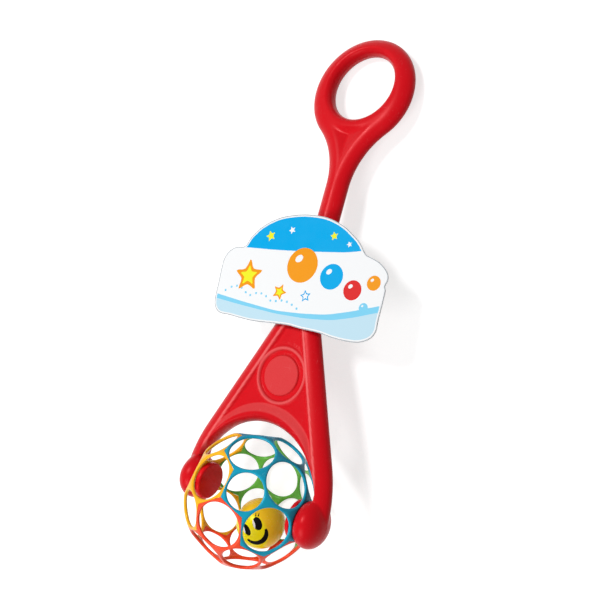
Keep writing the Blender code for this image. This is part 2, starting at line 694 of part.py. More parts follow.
def cage_panels(parent):
    """The four panels of the cage ball."""
    pentagons, hexagons = ball_fields()
    hearts = panel_hearts(hexagons)
    corners = []
    for start in pentagons:
        for end in pentagons:
            if neighbours(start, end):
                corners.append((start * 2 + end).normalized())
    fields = []
    for heading in pentagons + hexagons:
        is_pentagon = heading in pentagons
        hole_angle = PENTAGON_HOLE_ANGLE if is_pentagon else HEXAGON_HOLE_ANGLE
        near = sorted(range(len(corners)), key=lambda index: -corners[index].dot(heading))
        near = near[:5 if is_pentagon else 6]
        side = heading.orthogonal().normalized()
        up = heading.cross(side)
        near.sort(key=lambda index: atan2(corners[index].dot(up), corners[index].dot(side)))
        fields.append((heading, hole_angle, near))
    colours = (("orange", ORANGE), ("blue", BLUE), ("yellow", YELLOW), ("green", GREEN))
    for heart, (word, colour) in enumerate(colours):
        material = plastic(f"{word}_plastic", colour, 0.32)
        cage_panel(f"cage_panel_{word}", heart, hearts, fields, corners, parent, material)


def dome(radius, start, end, step_angle):
    """The profile of a ball's skin between two angles from its pole; angle zero is the pole itself."""
    steps = round(abs(end - start) / step_angle)
    bends = [start + (end - start) * step / steps for step in range(steps + 1)]
    return [(radius * cos(bend), radius * sin(bend) if 0 < bend < pi else 0) for bend in bends]


def half_ball(outer, inner, low):
    """The profile of a hollow half ball above a low height."""
    return dome(outer, 0, acos(low / outer), ARC_STEP) + dome(inner, acos(low / inner), 0, HOLLOW_ARC_STEP)


def smiley(parent, yellow, golden):
    """The two halves of the smiling ball, parted square to the way the face looks."""
    profile = half_ball(SMILEY_RADIUS, SMILEY_RADIUS - SMILEY_WALL, PARTING)
    face = FACE_DIRECTION.normalized()
    finish(turned_piece("smiley_face_half", profile, face, (0, 0, 0), parent, yellow))
    finish(turned_piece("smiley_back_half", profile, -face, (0, 0, 0), parent, golden))


def bell(parent, brass, steel):
    """A round bell with a mouth, loose in the smiling ball, and the pellet that strikes it."""
    inner = BELL_RADIUS - BELL_WALL
    mouth = asin(BELL_MOUTH_RADIUS / BELL_RADIUS)
    skin = dome(BELL_RADIUS, mouth, pi, HOLLOW_ARC_STEP) + dome(inner, pi, mouth, HOLLOW_ARC_STEP)
    outward = SMILEY_CENTRE.normalized()
    seat = (SMILEY_RADIUS - SMILEY_WALL) * cos(ARC_STEP) - BELL_RADIUS - TOUCH_GAP
    centre = SMILEY_CENTRE + outward * seat
    finish(turned_piece("jingle_bell", skin, (1, 0, 0), centre, parent, brass, HOLLOW_TURN_STEPS))
    rest = centre + outward * (inner - PELLET_RADIUS - RUNNING_GAP)
    pellet = dome(PELLET_RADIUS, 0, pi, PELLET_ARC_STEP)
    finish(turned_piece("bell_pellet", pellet, (1, 0, 0), rest, parent, steel, SCREW_STEPS))


def spline(points, steps):
    """A smooth closed curve through points."""
    curve = []
    count = len(points)
    for index in range(count):
        before, start, end, after = (points[(index + offset) % count] for offset in (-1, 0, 1, 2))
        for step in range(steps):
            share = step / steps
            square = before * 2 - start * 5 + end * 4 - after
            cube = start * 3 - before - end * 3 + after
            point = start * 2 + (end - before) * share + square * share ** 2 + cube * share ** 3
            curve.append(point / 2)
    return curve


def strap_height():
    """The height of the strap's middle, just above where the stick begins to widen."""
    return flare_centre()[1] + STRAP_RISE


def tag_outline():
    """The die-cut outline of the hang tag in the handle's plane."""
    foot = strap_height() - TAG_FOOT_DROP
    corners = [Vector((across * TAG_WIDTH / 2 + TAG_SHIFT, up * TAG_HEIGHT + foot))
               for across, up in TAG_SHARES]
    return spline(corners, TAG_CURVE_STEPS)


def strap_section():
    """The strap's run round the stick, as a closed band section of (across, depth)."""
    inner = STICK_HALF + TOUCH_GAP
    back = -HALF_THICKNESS - TOUCH_GAP
    front = HALF_THICKNESS + CARD_STANDOFF - TOUCH_GAP
    run = arc(inner + STRAP_ROUND, front - STRAP_ROUND, STRAP_ROUND, pi / 2, pi)
    run = [Vector((inner + STRAP_ROUND + STRAP_TAB, front))] + run
    run += arc(inner - STRAP_ROUND, back + STRAP_ROUND, STRAP_ROUND, 0, -pi / 2)
    near = run + [Vector((-point.x, point.y)) for point in reversed(run)]
    return near


def tag(parent, card_blue, card_grey):
    """The printed card and the strap glued to its back, free to slide along the stick."""
    back = HALF_THICKNESS + CARD_STANDOFF
    levels = [(0, back), (0, back + CARD_THICKNESS)]
    finish(plate("tag_card", [tag_outline()], levels, 1, parent, card_blue))
    near = strap_section()
    far = []
    for before, here, after in zip(near[:1] + near[:-1], near, near[1:] + near[-1:]):
        heading = (after - before).normalized()
        far.append(here + Vector((-heading.y, heading.x)) * STRAP_THICKNESS)
    points, faces = [], []
    low = strap_height() - STRAP_WIDTH / 2
    for height in (low, low + STRAP_WIDTH):
        points += [Vector((point.x, height, point.y)) for point in near]
        points += [Vector((point.x, height, point.y)) for point in far]
    count = len(near)
    for step in range(count - 1):
        faces.append((step, step + 1, count + step + 1, count + step))
        faces.append((2 * count + step, 3 * count + step, 3 * count + step + 1, 2 * count + step + 1))
        faces.append((step, 2 * count + step, 2 * count + step + 1, step + 1))
        faces.append((count + step, count + step + 1, 3 * count + step + 1, 3 * count + step))
    for step in (0, count - 1):
        faces.append((step, count + step, 3 * count + step, 2 * count + step))
    finish(piece("tag_strap", points, faces, parent, card_grey))


def settle(toy):
    """Stands the toy's bounding box on the floor, centred on the origin."""
    bpy.context.view_layer.update()
    bodies = [thing for thing in bpy.data.objects if thing.type == "MESH"]
    points = [thing.matrix_world @ vertex.co for thing in bodies for vertex in thing.data.vertices]
    lows = [min(point[axis] for point in points) for axis in range(3)]
    highs = [max(point[axis] for point in points) for axis in range(3)]
    toy.location -= Vector(((lows[0] + highs[0]) / 2, (lows[1] + highs[1]) / 2, lows[2]))


def build_toy():
    """Builds every piece, then sets the toy on the floor."""
    for thing in list(bpy.data.objects):
        bpy.data.objects.remove(thing)
    red = plastic("red_plastic", RED)
    deep_red = plastic("deep_red_plastic", DEEP_RED)
    steel = plastic("zinc_plated_steel", STEEL, 0.35, 1.0)
    brass = plastic("nickel_bell_metal", BRASS, 0.3, 1.0)
    toy = empty("toy_handle", (0, 0, 0))
    toy.rotation_euler = (-rest_lean(), 0, 0)
    handle_shell("handle_front_shell", 1, toy, red)
    handle_shell("handle_rear_shell", -1, toy, red)
    handle_screws(toy, steel)
    axle_pieces("left", -1, toy, red, deep_red, steel)
    axle_pieces("right", 1, toy, red, deep_red, steel)
    cage_panels(empty("ball_axis", (0, 0, 0), toy))
    smiley_axis = empty("smiley_axis", SMILEY_CENTRE, toy)
    smiley(smiley_axis, plastic("smiley_plastic", SMILEY_YELLOW), plastic("golden_plastic", GOLDEN_YELLOW))
    bell(empty("bell_axis", (0, 0, 0), toy), brass, steel)
    tag(empty("tag_slide", (0, 0, 0), toy), plastic("printed_card", CARD_BLUE, 0.4),
        plastic("grey_card", CARD_GREY, 0.7))
    settle(toy)


build_toy()
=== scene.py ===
"""Looks of the toddler push toy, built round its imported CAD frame.

The handle, the axle pieces and the tag are drawn in millimetres in the handle's own plane: X along the
axle, Y from the ball's centre to the grip, Z towards the front. HANDLE_PLACE takes them to the row frame.
"""
import json
from math import acos, asin, atan2, ceil, cos, hypot, isclose, pi, radians, sin, sqrt, tan

import bmesh
import bpy
import numpy as np
from mathutils import Matrix, Vector
from mathutils.geometry import delaunay_2d_cdt
from mathutils.kdtree import KDTree


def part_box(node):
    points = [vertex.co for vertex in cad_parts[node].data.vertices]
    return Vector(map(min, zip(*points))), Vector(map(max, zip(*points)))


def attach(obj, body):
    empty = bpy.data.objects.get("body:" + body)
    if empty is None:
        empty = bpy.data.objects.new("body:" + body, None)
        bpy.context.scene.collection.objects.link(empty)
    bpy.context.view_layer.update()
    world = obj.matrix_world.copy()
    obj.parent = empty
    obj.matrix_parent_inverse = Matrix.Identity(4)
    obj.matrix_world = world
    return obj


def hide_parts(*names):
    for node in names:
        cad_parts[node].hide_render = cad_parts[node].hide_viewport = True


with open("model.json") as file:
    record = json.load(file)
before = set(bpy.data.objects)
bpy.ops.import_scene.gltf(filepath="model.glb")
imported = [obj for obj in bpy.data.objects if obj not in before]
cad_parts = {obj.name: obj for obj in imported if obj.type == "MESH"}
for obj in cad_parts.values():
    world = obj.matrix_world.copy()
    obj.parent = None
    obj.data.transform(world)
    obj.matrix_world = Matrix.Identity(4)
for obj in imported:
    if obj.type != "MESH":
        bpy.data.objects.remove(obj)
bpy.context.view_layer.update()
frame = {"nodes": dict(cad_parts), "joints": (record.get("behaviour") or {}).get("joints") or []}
MM = 0.001

# Handle outline, in millimetres
GRIP_DISTANCE = 419.7
GRIP_HOLE_RADIUS = 34.7
GRIP_OUTER_RADIUS = 56.5
GRIP_OUTER_CENTRE = GRIP_DISTANCE - 5.1
NECK_RADIUS = 78.0
STICK_HALF = 12.4
FLARE_RADIUS = 140.0
ARM_LEAN = radians(23)
ARM_CURVE_RADIUS = 138.8
ARM_OUTER = 86.0
ARM_END_ANGLE = radians(22)
ARCH_RADIUS = 73.5
HALF_THICKNESS = 10.0
PARTING = 0.15

# Relief on the handle: a crest runs 14.3 mm inside the outline all the way round
RAIL_WIDTH = 17.0
RAIL_CREST = 14.3
GRIP_ROUND = 8.5
ARCH_ROUND_RANGE = (3.8, 9.0)
INNER_EDGE_LIFT = 0.25
EDGE_SOFTNESS = 1.0
FALL_BEYOND = 1.5
WEB_SLOPE = 4.2
WEB_DEPTH = 3.0
WEB_RISE = 25.2
WEB_RADIUS = 67.0
WEB_TOP = 300
RIM_CREST = 0.465
MEDALLION_DISTANCE = 120.5
MEDALLION_CREST = 26.6
MEDALLION_FOOT = 31.0
MEDALLION_MOAT = 23.4
MEDALLION_DISC = 19.6
RING_HEIGHT = 1.7
RING_SOFTNESS = 0.4
MOAT_HEIGHT = -1.0
DISC_RISE = 2.0
DISC_EASE = 0.7
VALLEY_SLOPE = 0.32
VALLEY_EDGE = 13.5
POD_BLEND_RANGE = (0.3, 8.0)

# The mark on the front: 1 is a duller, rougher field with a painted sheen, and 2 a full painted highlight along
# the crests. The painted highlight fades high on the stick.
RING_HIGHLIGHT_LEVEL = 1.4
CREST_HIGHLIGHT_LEVEL = 1.7
CREST_FADES_FROM = 290

# Pods and screw wells
POD_CENTRE = 70.5
POD_HALF_DEPTH = 15.5
POD_RADIUS = 21.5
POD_FACE = 62.25
POD_EDGE_WIDTH = 0.9
POD_EDGE_DROP = 0.6
POD_FALL = 12
WELL_RADIUS = 3.0
WELL_FLOOR = 3.5
WELL_LIP_DEPTH = 0.45
WELL_LIP_WIDTH = 0.6
SCREW_PLACES = ((0, 366.7), (0, 289.7), (0, 215), (0, 155), (-28, 81.8), (28, 81.8), (-68.6, 48), (68.6, 48))

# Where the handle's plan has points
ARC_STEP = 1.6
RUN_STEP = 1.8
EDGE_DEPTHS = (0.05, 0.2, 0.44, 0.78, 1.22, 1.74, 2.35, 3.04, 3.8)
MEDALLION_ROWS = (34, 33, 32, 31.3, 30.6, 29.8, 29, 28.3, 27.7, 27.2, 26.8, 26.4, 26, 25.5, 25, 24.4, 23.8,
                  23.4, 22.4, 21.4, 20.7, 20.2, 19.9, 19.6, 19.3, 18.9, 18)
RIM_ROWS = (-0.06, 0, 0.06, 0.15, 0.9, 0.97, 1.03, 1.1)
WELL_ROWS = (1.5, WELL_RADIUS, WELL_RADIUS + 0.02, 3.12, 3.25, 3.45, 3.7)
FINE_SPACING, QUICK_SPACING, REAR_SPACING_SHARE = 1.25, 3.0, 1.6

# Axle pieces
CAP_EASE = 2.2
CAP_DOME = 0.35
JOURNAL_EASE = 0.3
JOURNAL_BORE = 1.7
SHOULDER_INSET = 0.33
SPIGOT_RADIUS = 9
COLLAR_RADIUS = 11.5
COLLAR_WIDTH = 2.3
ROUND_STEPS = 96

# Cage ball: 12 five-sided and 20 six-sided fields, with the angles from a field's middle to its sides
CAGE_TURN = radians(17.2)
SIX_BORDER = acos(sqrt(5) / 3) / 2
FIVE_BORDER = acos(sqrt((5 + 2 * sqrt(5)) / 15)) - SIX_BORDER
HALF_SIDE = asin(0.5 / 2.478018659)
FIELD_ROWS = 25
RIM_SHARE = 0.75
SEAM_DRAW = 0.16
CAGE_SIZES = {"Six Hole Angle": asin(0.333), "Five Hole Angle": asin(0.264), "Ball Radius": 64.0,
              "Wall": 3.2, "Rim Round": 2.3, "Steps": 16}

# Smiling ball
SMILEY_RADIUS = 24.0
SMILEY_PARTING = (0.40, -0.43, 0.81)
SEAM_GAP = 0.12
FACE_AIM = Vector((0.4187, -0.2991, 0.8574)).normalized()
FACE_UP = Vector((-0.3978, 0.7883, 0.4693))
FACE_TILT = radians(11)
FACE_MIDDLE = 1.15
PATCH_AIM = (0.04, -0.45, 0.89)
PRINT_SPACING = 0.6
PRINT_ROOT = -0.10

# Hang tag and its strap
TAG_WIDTH = 195.0
TAG_HEIGHT = 114.9
TAG_FOOT = 164.4
TAG_SHIFT = -5.6
CARD_BACK = 14.6
CARD_THICKNESS = 0.8
CARD_SIDE_BOW = 0.9
CARD_UPRIGHT_BOW = 0.5
BORDER_WIDTH = 2.2
# width of the grey painted shade along the card's cut edge
EDGE_SHADE_WIDTH = 0.85
LINE_REACH = 104
TAG_SHARES = (
    (-0.939, 0.048), (-0.973, 0.120), (-0.985, 0.260), (-1.000, 0.402), (-0.999, 0.500),
    (-0.957, 0.569), (-0.882, 0.616), (-0.770, 0.638), (-0.716, 0.731), (-0.605, 0.842),
    (-0.423, 0.937), (-0.206, 0.986), (-0.024, 1.000), (0.164, 0.991), (0.352, 0.943),
    (0.490, 0.878), (0.591, 0.817), (0.684, 0.734), (0.756, 0.712), (0.856, 0.682),
    (0.951, 0.623), (0.986, 0.563), (0.972, 0.505), (0.990, 0.463), (0.994, 0.343),
    (0.996, 0.225), (1.000, 0.144), (0.959, 0.080), (0.858, 0.033), (0.733, 0.019),
    (0.565, 0.019), (0.399, 0.033), (0.174, 0.032), (0.037, 0.036), (-0.122, 0.025),
    (-0.412, 0.001), (-0.574, 0.000), (-0.728, 0.004), (-0.862, 0.004))
STRAP_GAP = 0.3
STRAP_THICKNESS = 0.6
STRAP_ROUND = 4.0
STRAP_TAB = 14.0
STRAP_ENDS = (229.0, 265.0)

# Screws
SCREW_SIZES = {"Head Radius": 2.7, "Head Height": 1.6, "Shank Radius": 1.3, "Shank Length": 7.0,
               "Recess Width": 0.6, "Recess Reach": 3.0}
SCREW_SEED = 4

# Linear colours
RED = (0.65, 0.004, 0.010)
# painted sheen: a lighter pink on the duller, rougher fields
SATIN_SHEEN_RED = (0.69, 0.046, 0.050)
# painted highlight: a pale pink along the crests and round the medallion's ring
CREST_HIGHLIGHT_RED = (0.90, 0.165, 0.165)
DARK_RED = (0.43, 0.007, 0.014)
# painted light: the caps' red is brighter than the handle's to make up for the shade they sit in
CAP_RED_BRIGHTENED_FOR_SHADE = (0.80, 0.007, 0.012)
PANEL_COLOURS = (("orange", (0.98, 0.080, 0.024)), ("blue", (0.006, 0.358, 0.537)),
                 ("yellow", (0.98, 0.495, 0.010)), ("green", (0.149, 0.525, 0.072)))
BRIGHT_YELLOW = (1.0, 0.90, 0.006)
OCHRE = (1.0, 0.62, 0.022)
STEEL = (0.62, 0.63, 0.66)
BRASS = (0.72, 0.52, 0.20)
PRINT_BLACK = (0.004, 0.004, 0.004)
PRINT_WHITE = (0.90, 0.90, 0.88)
SCUFF = (0.9, 0.88, 0.86)
DUST = (0.8, 0.78, 0.74)
CARD_GREY = (0.55, 0.54, 0.51)
SKY = (0.000, 0.385, 0.780)
BAND = (0.210, 0.620, 0.850)
PALE = (0.520, 0.730, 0.840)
PAPER = (0.87, 0.88, 0.89)
TAG_ORANGE = (0.86, 0.315, 0.010)
TAG_LIME = (0.84, 0.84, 0.024)
TAG_RED = (0.70, 0.024, 0.024)
# painted shade: grey along the card's cut edge
EDGE_SHADE_GREY = (0.42, 0.45, 0.48)

# How much light the surfaces mirror; 0.5 is a plain plastic
GLOSS_LEVEL = 0.25
CAGE_GLOSS = 0.42
PRINT_GLOSS = 0.04

# Floor, light and the camera that was fitted to the photograph, in metres
FLOOR_LIFT = 0.70
FLOOR_HALF = 4
FLOOR_TONES = (0.50, 0.54)
WORLD_LIGHT = 0.24
LAMP_AIM = Vector((0, -0.05, 0.03))
LAMPS = (("key_lamp", (-0.42, 0.50, 1.48), 0.42, 15.5), ("low_lamp", (0.0, -1.0, 1.3), 0.8, 10))
CAMERA_LENS = 41.9352
CAMERA_SENSOR = 36
CAMERA_PLACE = Matrix(((0.80373, -0.16963, 0.5703, 0.39132), (0.20061, 0.97962, 0.00867, -0.00134),
                       (-0.56016, 0.10744, 0.82137, 0.60664), (0, 0, 0, 1)))


def joint(name):
    """The row's joint of that name."""
    return next(each for each in frame["joints"] if each["name"] == name)


AXLE = Vector((1, 0, 0))
SLIDE = Vector(joint("tag_slide")["axis"]).normalized()
BALL_CENTRE = Vector(joint("ball_spin")["pos_m"])
SMILEY_CENTRE = Vector(joint("smiley_spin")["pos_m"])
TURN = Matrix((AXLE, SLIDE, AXLE.cross(SLIDE))).transposed().to_4x4()
HANDLE_PLACE = Matrix.Translation(BALL_CENTRE) @ TURN @ Matrix.Scale(MM, 4)
SMILEY_PLACE = Matrix.Translation(SMILEY_CENTRE) @ TURN @ Matrix.Scale(MM, 4)


# Node trees

class Wire:
    """A node's output. Arithmetic on it adds Math nodes, and a key gives another output of its node."""

    def __init__(self, graph, socket):
        self.graph, self.socket = graph, socket

    def __getitem__(self, key):
        return Wire(self.graph, self.socket.node.outputs[key])

    def __add__(self, other):
        return self.graph.math("ADD", self, other)

    def __sub__(self, other):
        return self.graph.math("SUBTRACT", self, other)

    def __rsub__(self, other):
        return self.graph.math("SUBTRACT", other, self)

    def __mul__(self, other):
        return self.graph.math("MULTIPLY", self, other)

    def __truediv__(self, other):
        return self.graph.math("DIVIDE", self, other)


class Graph:
    """Adds nodes to a node tree and links what they are given."""

    def __init__(self, tree):
        self.tree = tree

    def feed(self, socket, value):
        """Links an input or sets its value; a list is for an input that takes several links."""
        for each in value if isinstance(value, list) else [value]:
            if isinstance(each, Wire):
                self.tree.links.new(each.socket, socket)
            else:
                socket.default_value = each

    def node(self, kind, inputs=None, output=0, **settings):
        """Adds a node, its inputs given by name or number, and returns one of its outputs."""
        made = self.tree.nodes.new(kind)
        for name, value in settings.items():
            setattr(made, name, value)
        for name, value in (inputs or {}).items():
            self.feed(made.inputs[name], value)
        return Wire(self, made.outputs[output])

    def math(self, operation, *values):
        """A Math node of either kind of tree."""
        return self.node("ShaderNodeMath", dict(enumerate(values)), operation=operation)

    def vector(self, operation, first, *second, output=0):
        """A Vector Math node."""
        return self.node("ShaderNodeVectorMath", dict(enumerate((first, *second))), output,
                         operation=operation)

    def blend(self, factor, first, second):
        """A colour between two colours."""
        return self.node("ShaderNodeMix", {0: factor, 6: first, 7: second}, 2, data_type="RGBA")

    def span(self, value, low, high, new_low=0, new_high=1):
        """A value taken from one range to another, held at the ends."""
        return self.node("ShaderNodeMapRange", {"Value": value, "From Min": low, "From Max": high,
                                                "To Min": new_low, "To Max": new_high})

    def noise(self, vector, scale, detail):
        """A noise value."""
        return self.node("ShaderNodeTexNoise", {"Vector": vector, "Scale": scale, "Detail": detail})

    def cells(self, vector, scale):
        """The distance to the nearest of scattered points."""
        return self.node("ShaderNodeTexVoronoi", {"Vector": vector, "Scale": scale})

    def group(self, tree, inputs):
        """A node group."""
        kind = "ShaderNodeGroup" if self.tree.type == "SHADER" else "GeometryNodeGroup"
        return self.node(kind, inputs, node_tree=tree)

    def spot(self):
        """The position in geometry nodes, split in three."""
        return self.node("ShaderNodeSeparateXYZ", {0: self.node("GeometryNodeInputPosition")})

    def seen(self):
        """1 for rays from the camera and for what is mirrored or seen through glass."""
        path = self.node("ShaderNodeLightPath")
        return self.math("MAXIMUM", path["Is Camera Ray"],
                         self.math("MAXIMUM", path["Is Glossy Ray"], path["Is Transmission Ray"]))


class Look(Graph):
    """A new material: its nodes, its Principled inputs and its object coordinates."""

    def __init__(self, name):
        self.material = bpy.data.materials.new(name)
        self.material.use_nodes = True
        super().__init__(self.material.node_tree)
        self.shader = self.tree.nodes["Principled BSDF"].inputs
        self.place = self.node("ShaderNodeTexCoord", output="Object")

    def set(self, values):
        """Feeds the Principled node."""
        for name, value in values.items():
            self.feed(self.shader[name], value)

    def bump(self, strength, distance, height):
        """Fine relief from a height."""
        self.set({"Normal": self.node("ShaderNodeBump", {"Strength": strength, "Distance": distance,
                                                         "Height": height})})

    def dress(self, colour, shade, roughness, grain=1.0, wear=1.0, bump=0.12):
        """Finishes a moulded surface: mottled colour, satin roughness, grain, scuffs and dust."""
        detail = self.group(MOULDED_DETAIL, {"Vector": self.place, "Grain": grain})
        marks = self.group(HANDLING_MARKS, {"Vector": self.place, "Amount": wear})
        body = self.blend(detail["Mottle"] * 0.35, colour, shade)
        body = self.blend(marks["Scuffs"] * 0.10, body, with_alpha(SCUFF))
        body = self.blend(marks["Dust"] * 0.10, body, with_alpha(DUST))
        rough = self.math("MULTIPLY_ADD", marks["Scuffs"], 0.16, detail["Roughness Shift"] + roughness)
        self.set({"Base Color": body, "Roughness": rough})
        self.bump(bump, 0.00005, detail["Height"] - marks["Scuffs"] * 0.4)

    def pigmented_gloss(self, colour, gloss=GLOSS_LEVEL):
        """A low gloss tinted towards the pigment."""
        tint = tuple(0.3 + 0.7 * part / max(colour) for part in colour)
        self.set({"Specular Tint": with_alpha(tint), "Specular IOR Level": gloss})


def with_alpha(colour, share=1.0):
    """A colour as four numbers, darkened by a share."""
    return tuple(part * share for part in colour) + (1.0,)


def new_group(name, kind, inputs, outputs):
    """A node tree, its graph, its given wires and its output sockets.

    An input is a number, which is its default, or the word for its kind, as each output is.
    """
    tree = bpy.data.node_groups.new(name, kind)
    for way, sockets in (("INPUT", inputs), ("OUTPUT", outputs)):
        for title, value in sockets.items():
            word = value if isinstance(value, str) else type(value).__name__.capitalize()
            socket = tree.interface.new_socket(title, in_out=way, socket_type="NodeSocket" + word)
            if word != value:
                socket.default_value = value
    graph = Graph(tree)
    given = Wire(graph, tree.nodes.new("NodeGroupInput").outputs[0])
    return tree, graph, given, tree.nodes.new("NodeGroupOutput").inputs


def moulded_detail_group():
    """Mottle, satin grain and flow waves of moulded plastic."""
    tree, graph, given, out = new_group("moulded_detail", "ShaderNodeTree", {"Vector": "Vector", "Grain": 1.0},
                                        {"Mottle": "Float", "Roughness Shift": "Float", "Height": "Float"})
    broad, fine, patches = (graph.noise(given["Vector"], scale, detail)
                            for scale, detail in ((26, 3), (2600, 2), (90, 4)))
    graph.feed(out["Mottle"], graph.span(broad, 0.35, 0.68))
    graph.feed(out["Roughness Shift"], graph.math(
        "MULTIPLY_ADD", graph.span(patches, 0.3, 0.7, -0.5, 0.5), 0.10, (fine - 0.5) * 0.12))
    graph.feed(out["Height"], graph.math("MULTIPLY_ADD", broad, 0.9, fine * given["Grain"]))
    return tree


def handling_marks_group():
    """Fine scuffs and settled dust from play and shelves."""
    tree, graph, given, out = new_group("handling_marks", "ShaderNodeTree", {"Vector": "Vector", "Amount": 1.0},
                                        {"Scuffs": "Float", "Dust": "Float"})
    lines = [graph.span(graph.noise(graph.vector("MULTIPLY", given["Vector"], stretch), 1, 2), 0.66, 0.74)
             for stretch in ((60, 900, 700), (800, 90, 500))]
    where = graph.span(graph.noise(given["Vector"], 18, 1), 0.45, 0.62)
    graph.feed(out["Scuffs"], graph.math("MAXIMUM", *lines) * where * given["Amount"])
    specks = graph.span(graph.cells(given["Vector"], 420), 0.05, 0.11, 1, 0)
    graph.feed(out["Dust"], specks * given["Amount"])
    return tree


MOULDED_DETAIL = moulded_detail_group()
HANDLING_MARKS = handling_marks_group()


def plastic(name, colour, roughness, shade, gloss=GLOSS_LEVEL):
    """Satin moulded plastic in one colour, whose gloss takes on some of the pigment."""
    look = Look(name)
    look.dress(with_alpha(colour), with_alpha(colour, shade), roughness)
    look.pigmented_gloss(colour, gloss)
    return look.material


def handle_plastic(name):
    """Glossy red plastic. An attribute marks its duller fields with a painted sheen (to 1) and its crests with
    a painted highlight (to 2).
    """
    look = Look(name)
    mark = look.node("ShaderNodeAttribute", output="Fac", attribute_name="satin")
    speck = look.span(look.noise(look.place, 900, 3), 0.3, 0.6, 0.8, 1.0)
    # painted highlight along the crests (attribute 1 to 2); painted sheen and more roughness on the duller
    # fields (0 to 1)
    crest_highlight = look.span(mark, 1, 2)
    field = look.span(mark, 0, 1) * speck
    tones = []
    for share in (1.0, 0.93):
        tone = look.blend(field, with_alpha(RED, share), with_alpha(SATIN_SHEEN_RED, share))
        tones.append(look.blend(crest_highlight, tone, with_alpha(CREST_HIGHLIGHT_RED, share)))
    look.dress(*tones, look.math("MULTIPLY_ADD", field, 0.18, 0.32), 0.7, 0.4)
    look.pigmented_gloss(RED)
    return look.material


def metal(name, colour, roughness):
    """Drum-plated metal with fine tumbling marks."""
    look = Look(name)
    look.dress(with_alpha(colour), with_alpha(colour, 0.8), roughness, 1.6, 1.5, 0.3)
    look.set({"Metallic": 1.0})
    return look.material


def two_tone_plastic(name):
    """The smiling ball: ochre, turning bright yellow over a cap of the ball round one direction, with a soft
    ragged edge.
    """
    look = Look(name)
    outward = look.vector("NORMALIZE", look.vector("SUBTRACT", look.place, tuple(SMILEY_CENTRE)))
    aim = (TURN @ Vector(PATCH_AIM).normalized().to_4d()).to_3d()
    facing = look.vector("DOT_PRODUCT", outward, tuple(aim), output="Value")
    ragged = look.noise(look.place, 160, 3) - 0.5
    patch = look.span(look.math("MULTIPLY_ADD", ragged, 0.03, facing), 0.53, 0.66)
    look.dress(look.blend(patch, with_alpha(OCHRE), with_alpha(BRIGHT_YELLOW)),
               look.blend(patch, with_alpha(OCHRE, 0.85), with_alpha(BRIGHT_YELLOW, 0.93)), 0.26)
    look.pigmented_gloss(BRIGHT_YELLOW)
    return look.material


def printed_card(name):
    """Varnished card: inks from the attribute, with a printed dot and a slight paper grain."""
    look = Look(name)
    ink = look.node("ShaderNodeAttribute", output="Color", attribute_name="ink")
    cloud = look.noise(look.place, 60, 4)
    faded = look.blend(look.span(cloud, 0.35, 0.7, 0.0, 0.006), ink, with_alpha(PAPER))
    dots = look.span(look.cells(look.place, 1600), 0.15, 0.45, 0.02, 0.0)
    look.set({"Base Color": look.blend(dots, faded, with_alpha(PAPER, 0.6)),
              "Roughness": look.span(cloud, 0.3, 0.7, 0.30, 0.42), "Specular IOR Level": PRINT_GLOSS})
    look.bump(0.12, 0.0001, look.noise(look.place, 2200, 2))
    return look.material


def raw_card(name):
    """Uncoated grey card with visible fibres."""
    look = Look(name)
    fibre = look.noise(look.place, 1400, 5)
    fleck = look.span(look.cells(look.place, 500), 0.02, 0.07, 0.4, 0)
    tone = look.blend(look.span(fibre, 0.3, 0.7), with_alpha(CARD_GREY, 0.86), with_alpha(CARD_GREY, 1.1))
    look.set({"Base Color": look.blend(fleck, tone, with_alpha(CARD_GREY, 0.5)),
              "Roughness": look.span(fibre, 0.3, 0.7, 0.72, 0.88)})
    look.bump(0.25, 0.0001, fibre)
    return look.material


def pad_print(name, colour):
    """Glossy pad-printed ink."""
    look = Look(name)
    look.dress(with_alpha(colour), with_alpha(colour, 0.8), 0.38, 0.8, 0.05, 0.08)
    look.set({"Specular IOR Level": PRINT_GLOSS})
    return look.material


# Meshes

def linked(name, data):
    """A new object in the scene."""
    made = bpy.data.objects.new(name, data)
    bpy.context.scene.collection.objects.link(made)
    return made


def edit(mesh, change):
    """Lets a function change a mesh as a bmesh."""
    form = bmesh.new()
    form.from_mesh(mesh)
    change(form)
    form.to_mesh(mesh)
    form.free()


def solid(name, points, faces, place, body, material, crease):
    """A closed piece in the row frame, with its faces turned outwards, riding on a body."""
    mesh = bpy.data.meshes.new(name)
    mesh.from_pydata([place @ Vector(point) for point in points], [], faces)
    return settled(name, mesh, body, material, crease)


def settled(name, mesh, body, material, crease):
    """Makes a finished piece of a mesh that stands in the row frame."""
    edit(mesh, lambda form: bmesh.ops.recalc_face_normals(form, faces=form.faces))
    mesh.shade_smooth()
    mesh.set_sharp_from_angle(angle=radians(crease))
    mesh.materials.clear()
    mesh.materials.append(material)
    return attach(linked(name, mesh), body)


def turned(profile, steps):
    """Points and faces of a profile of (height, radius) turned about Z; ends on the axis close it."""
    points, rings, faces = [], [], []
    for height, radius in profile:
        if radius < 1e-9:
            rings.append([len(points)])
            points.append((0, 0, height))
            continue
        rings.append(list(range(len(points), len(points) + steps)))
        for step in range(steps):
            angle = 2 * pi * step / steps
            points.append((radius * cos(angle), radius * sin(angle), height))
    for low, high in zip(rings, rings[1:] + rings[:1]):
        if len(low) == 1 and len(high) == 1:
            continue
        for step in range(steps):
            after = (step + 1) % steps
            corners = [low[step % len(low)], low[after % len(low)],
                       high[after % len(high)], high[step % len(high)]]
            faces.append(list(dict.fromkeys(corners)))
    return points, faces


def towards(direction):
    """The matrix that turns +Z to a direction."""
    return Vector(direction).to_track_quat("Z", "Y").to_matrix().to_4x4()


def smoothstep(value):
    """A soft step from 0 to 1."""
    held = np.clip(value, 0, 1)
    return held * held * (3 - 2 * held)


def rise(value, start, run):
    """A soft step that starts at a value and takes a run."""
    return smoothstep((value - start) / run)


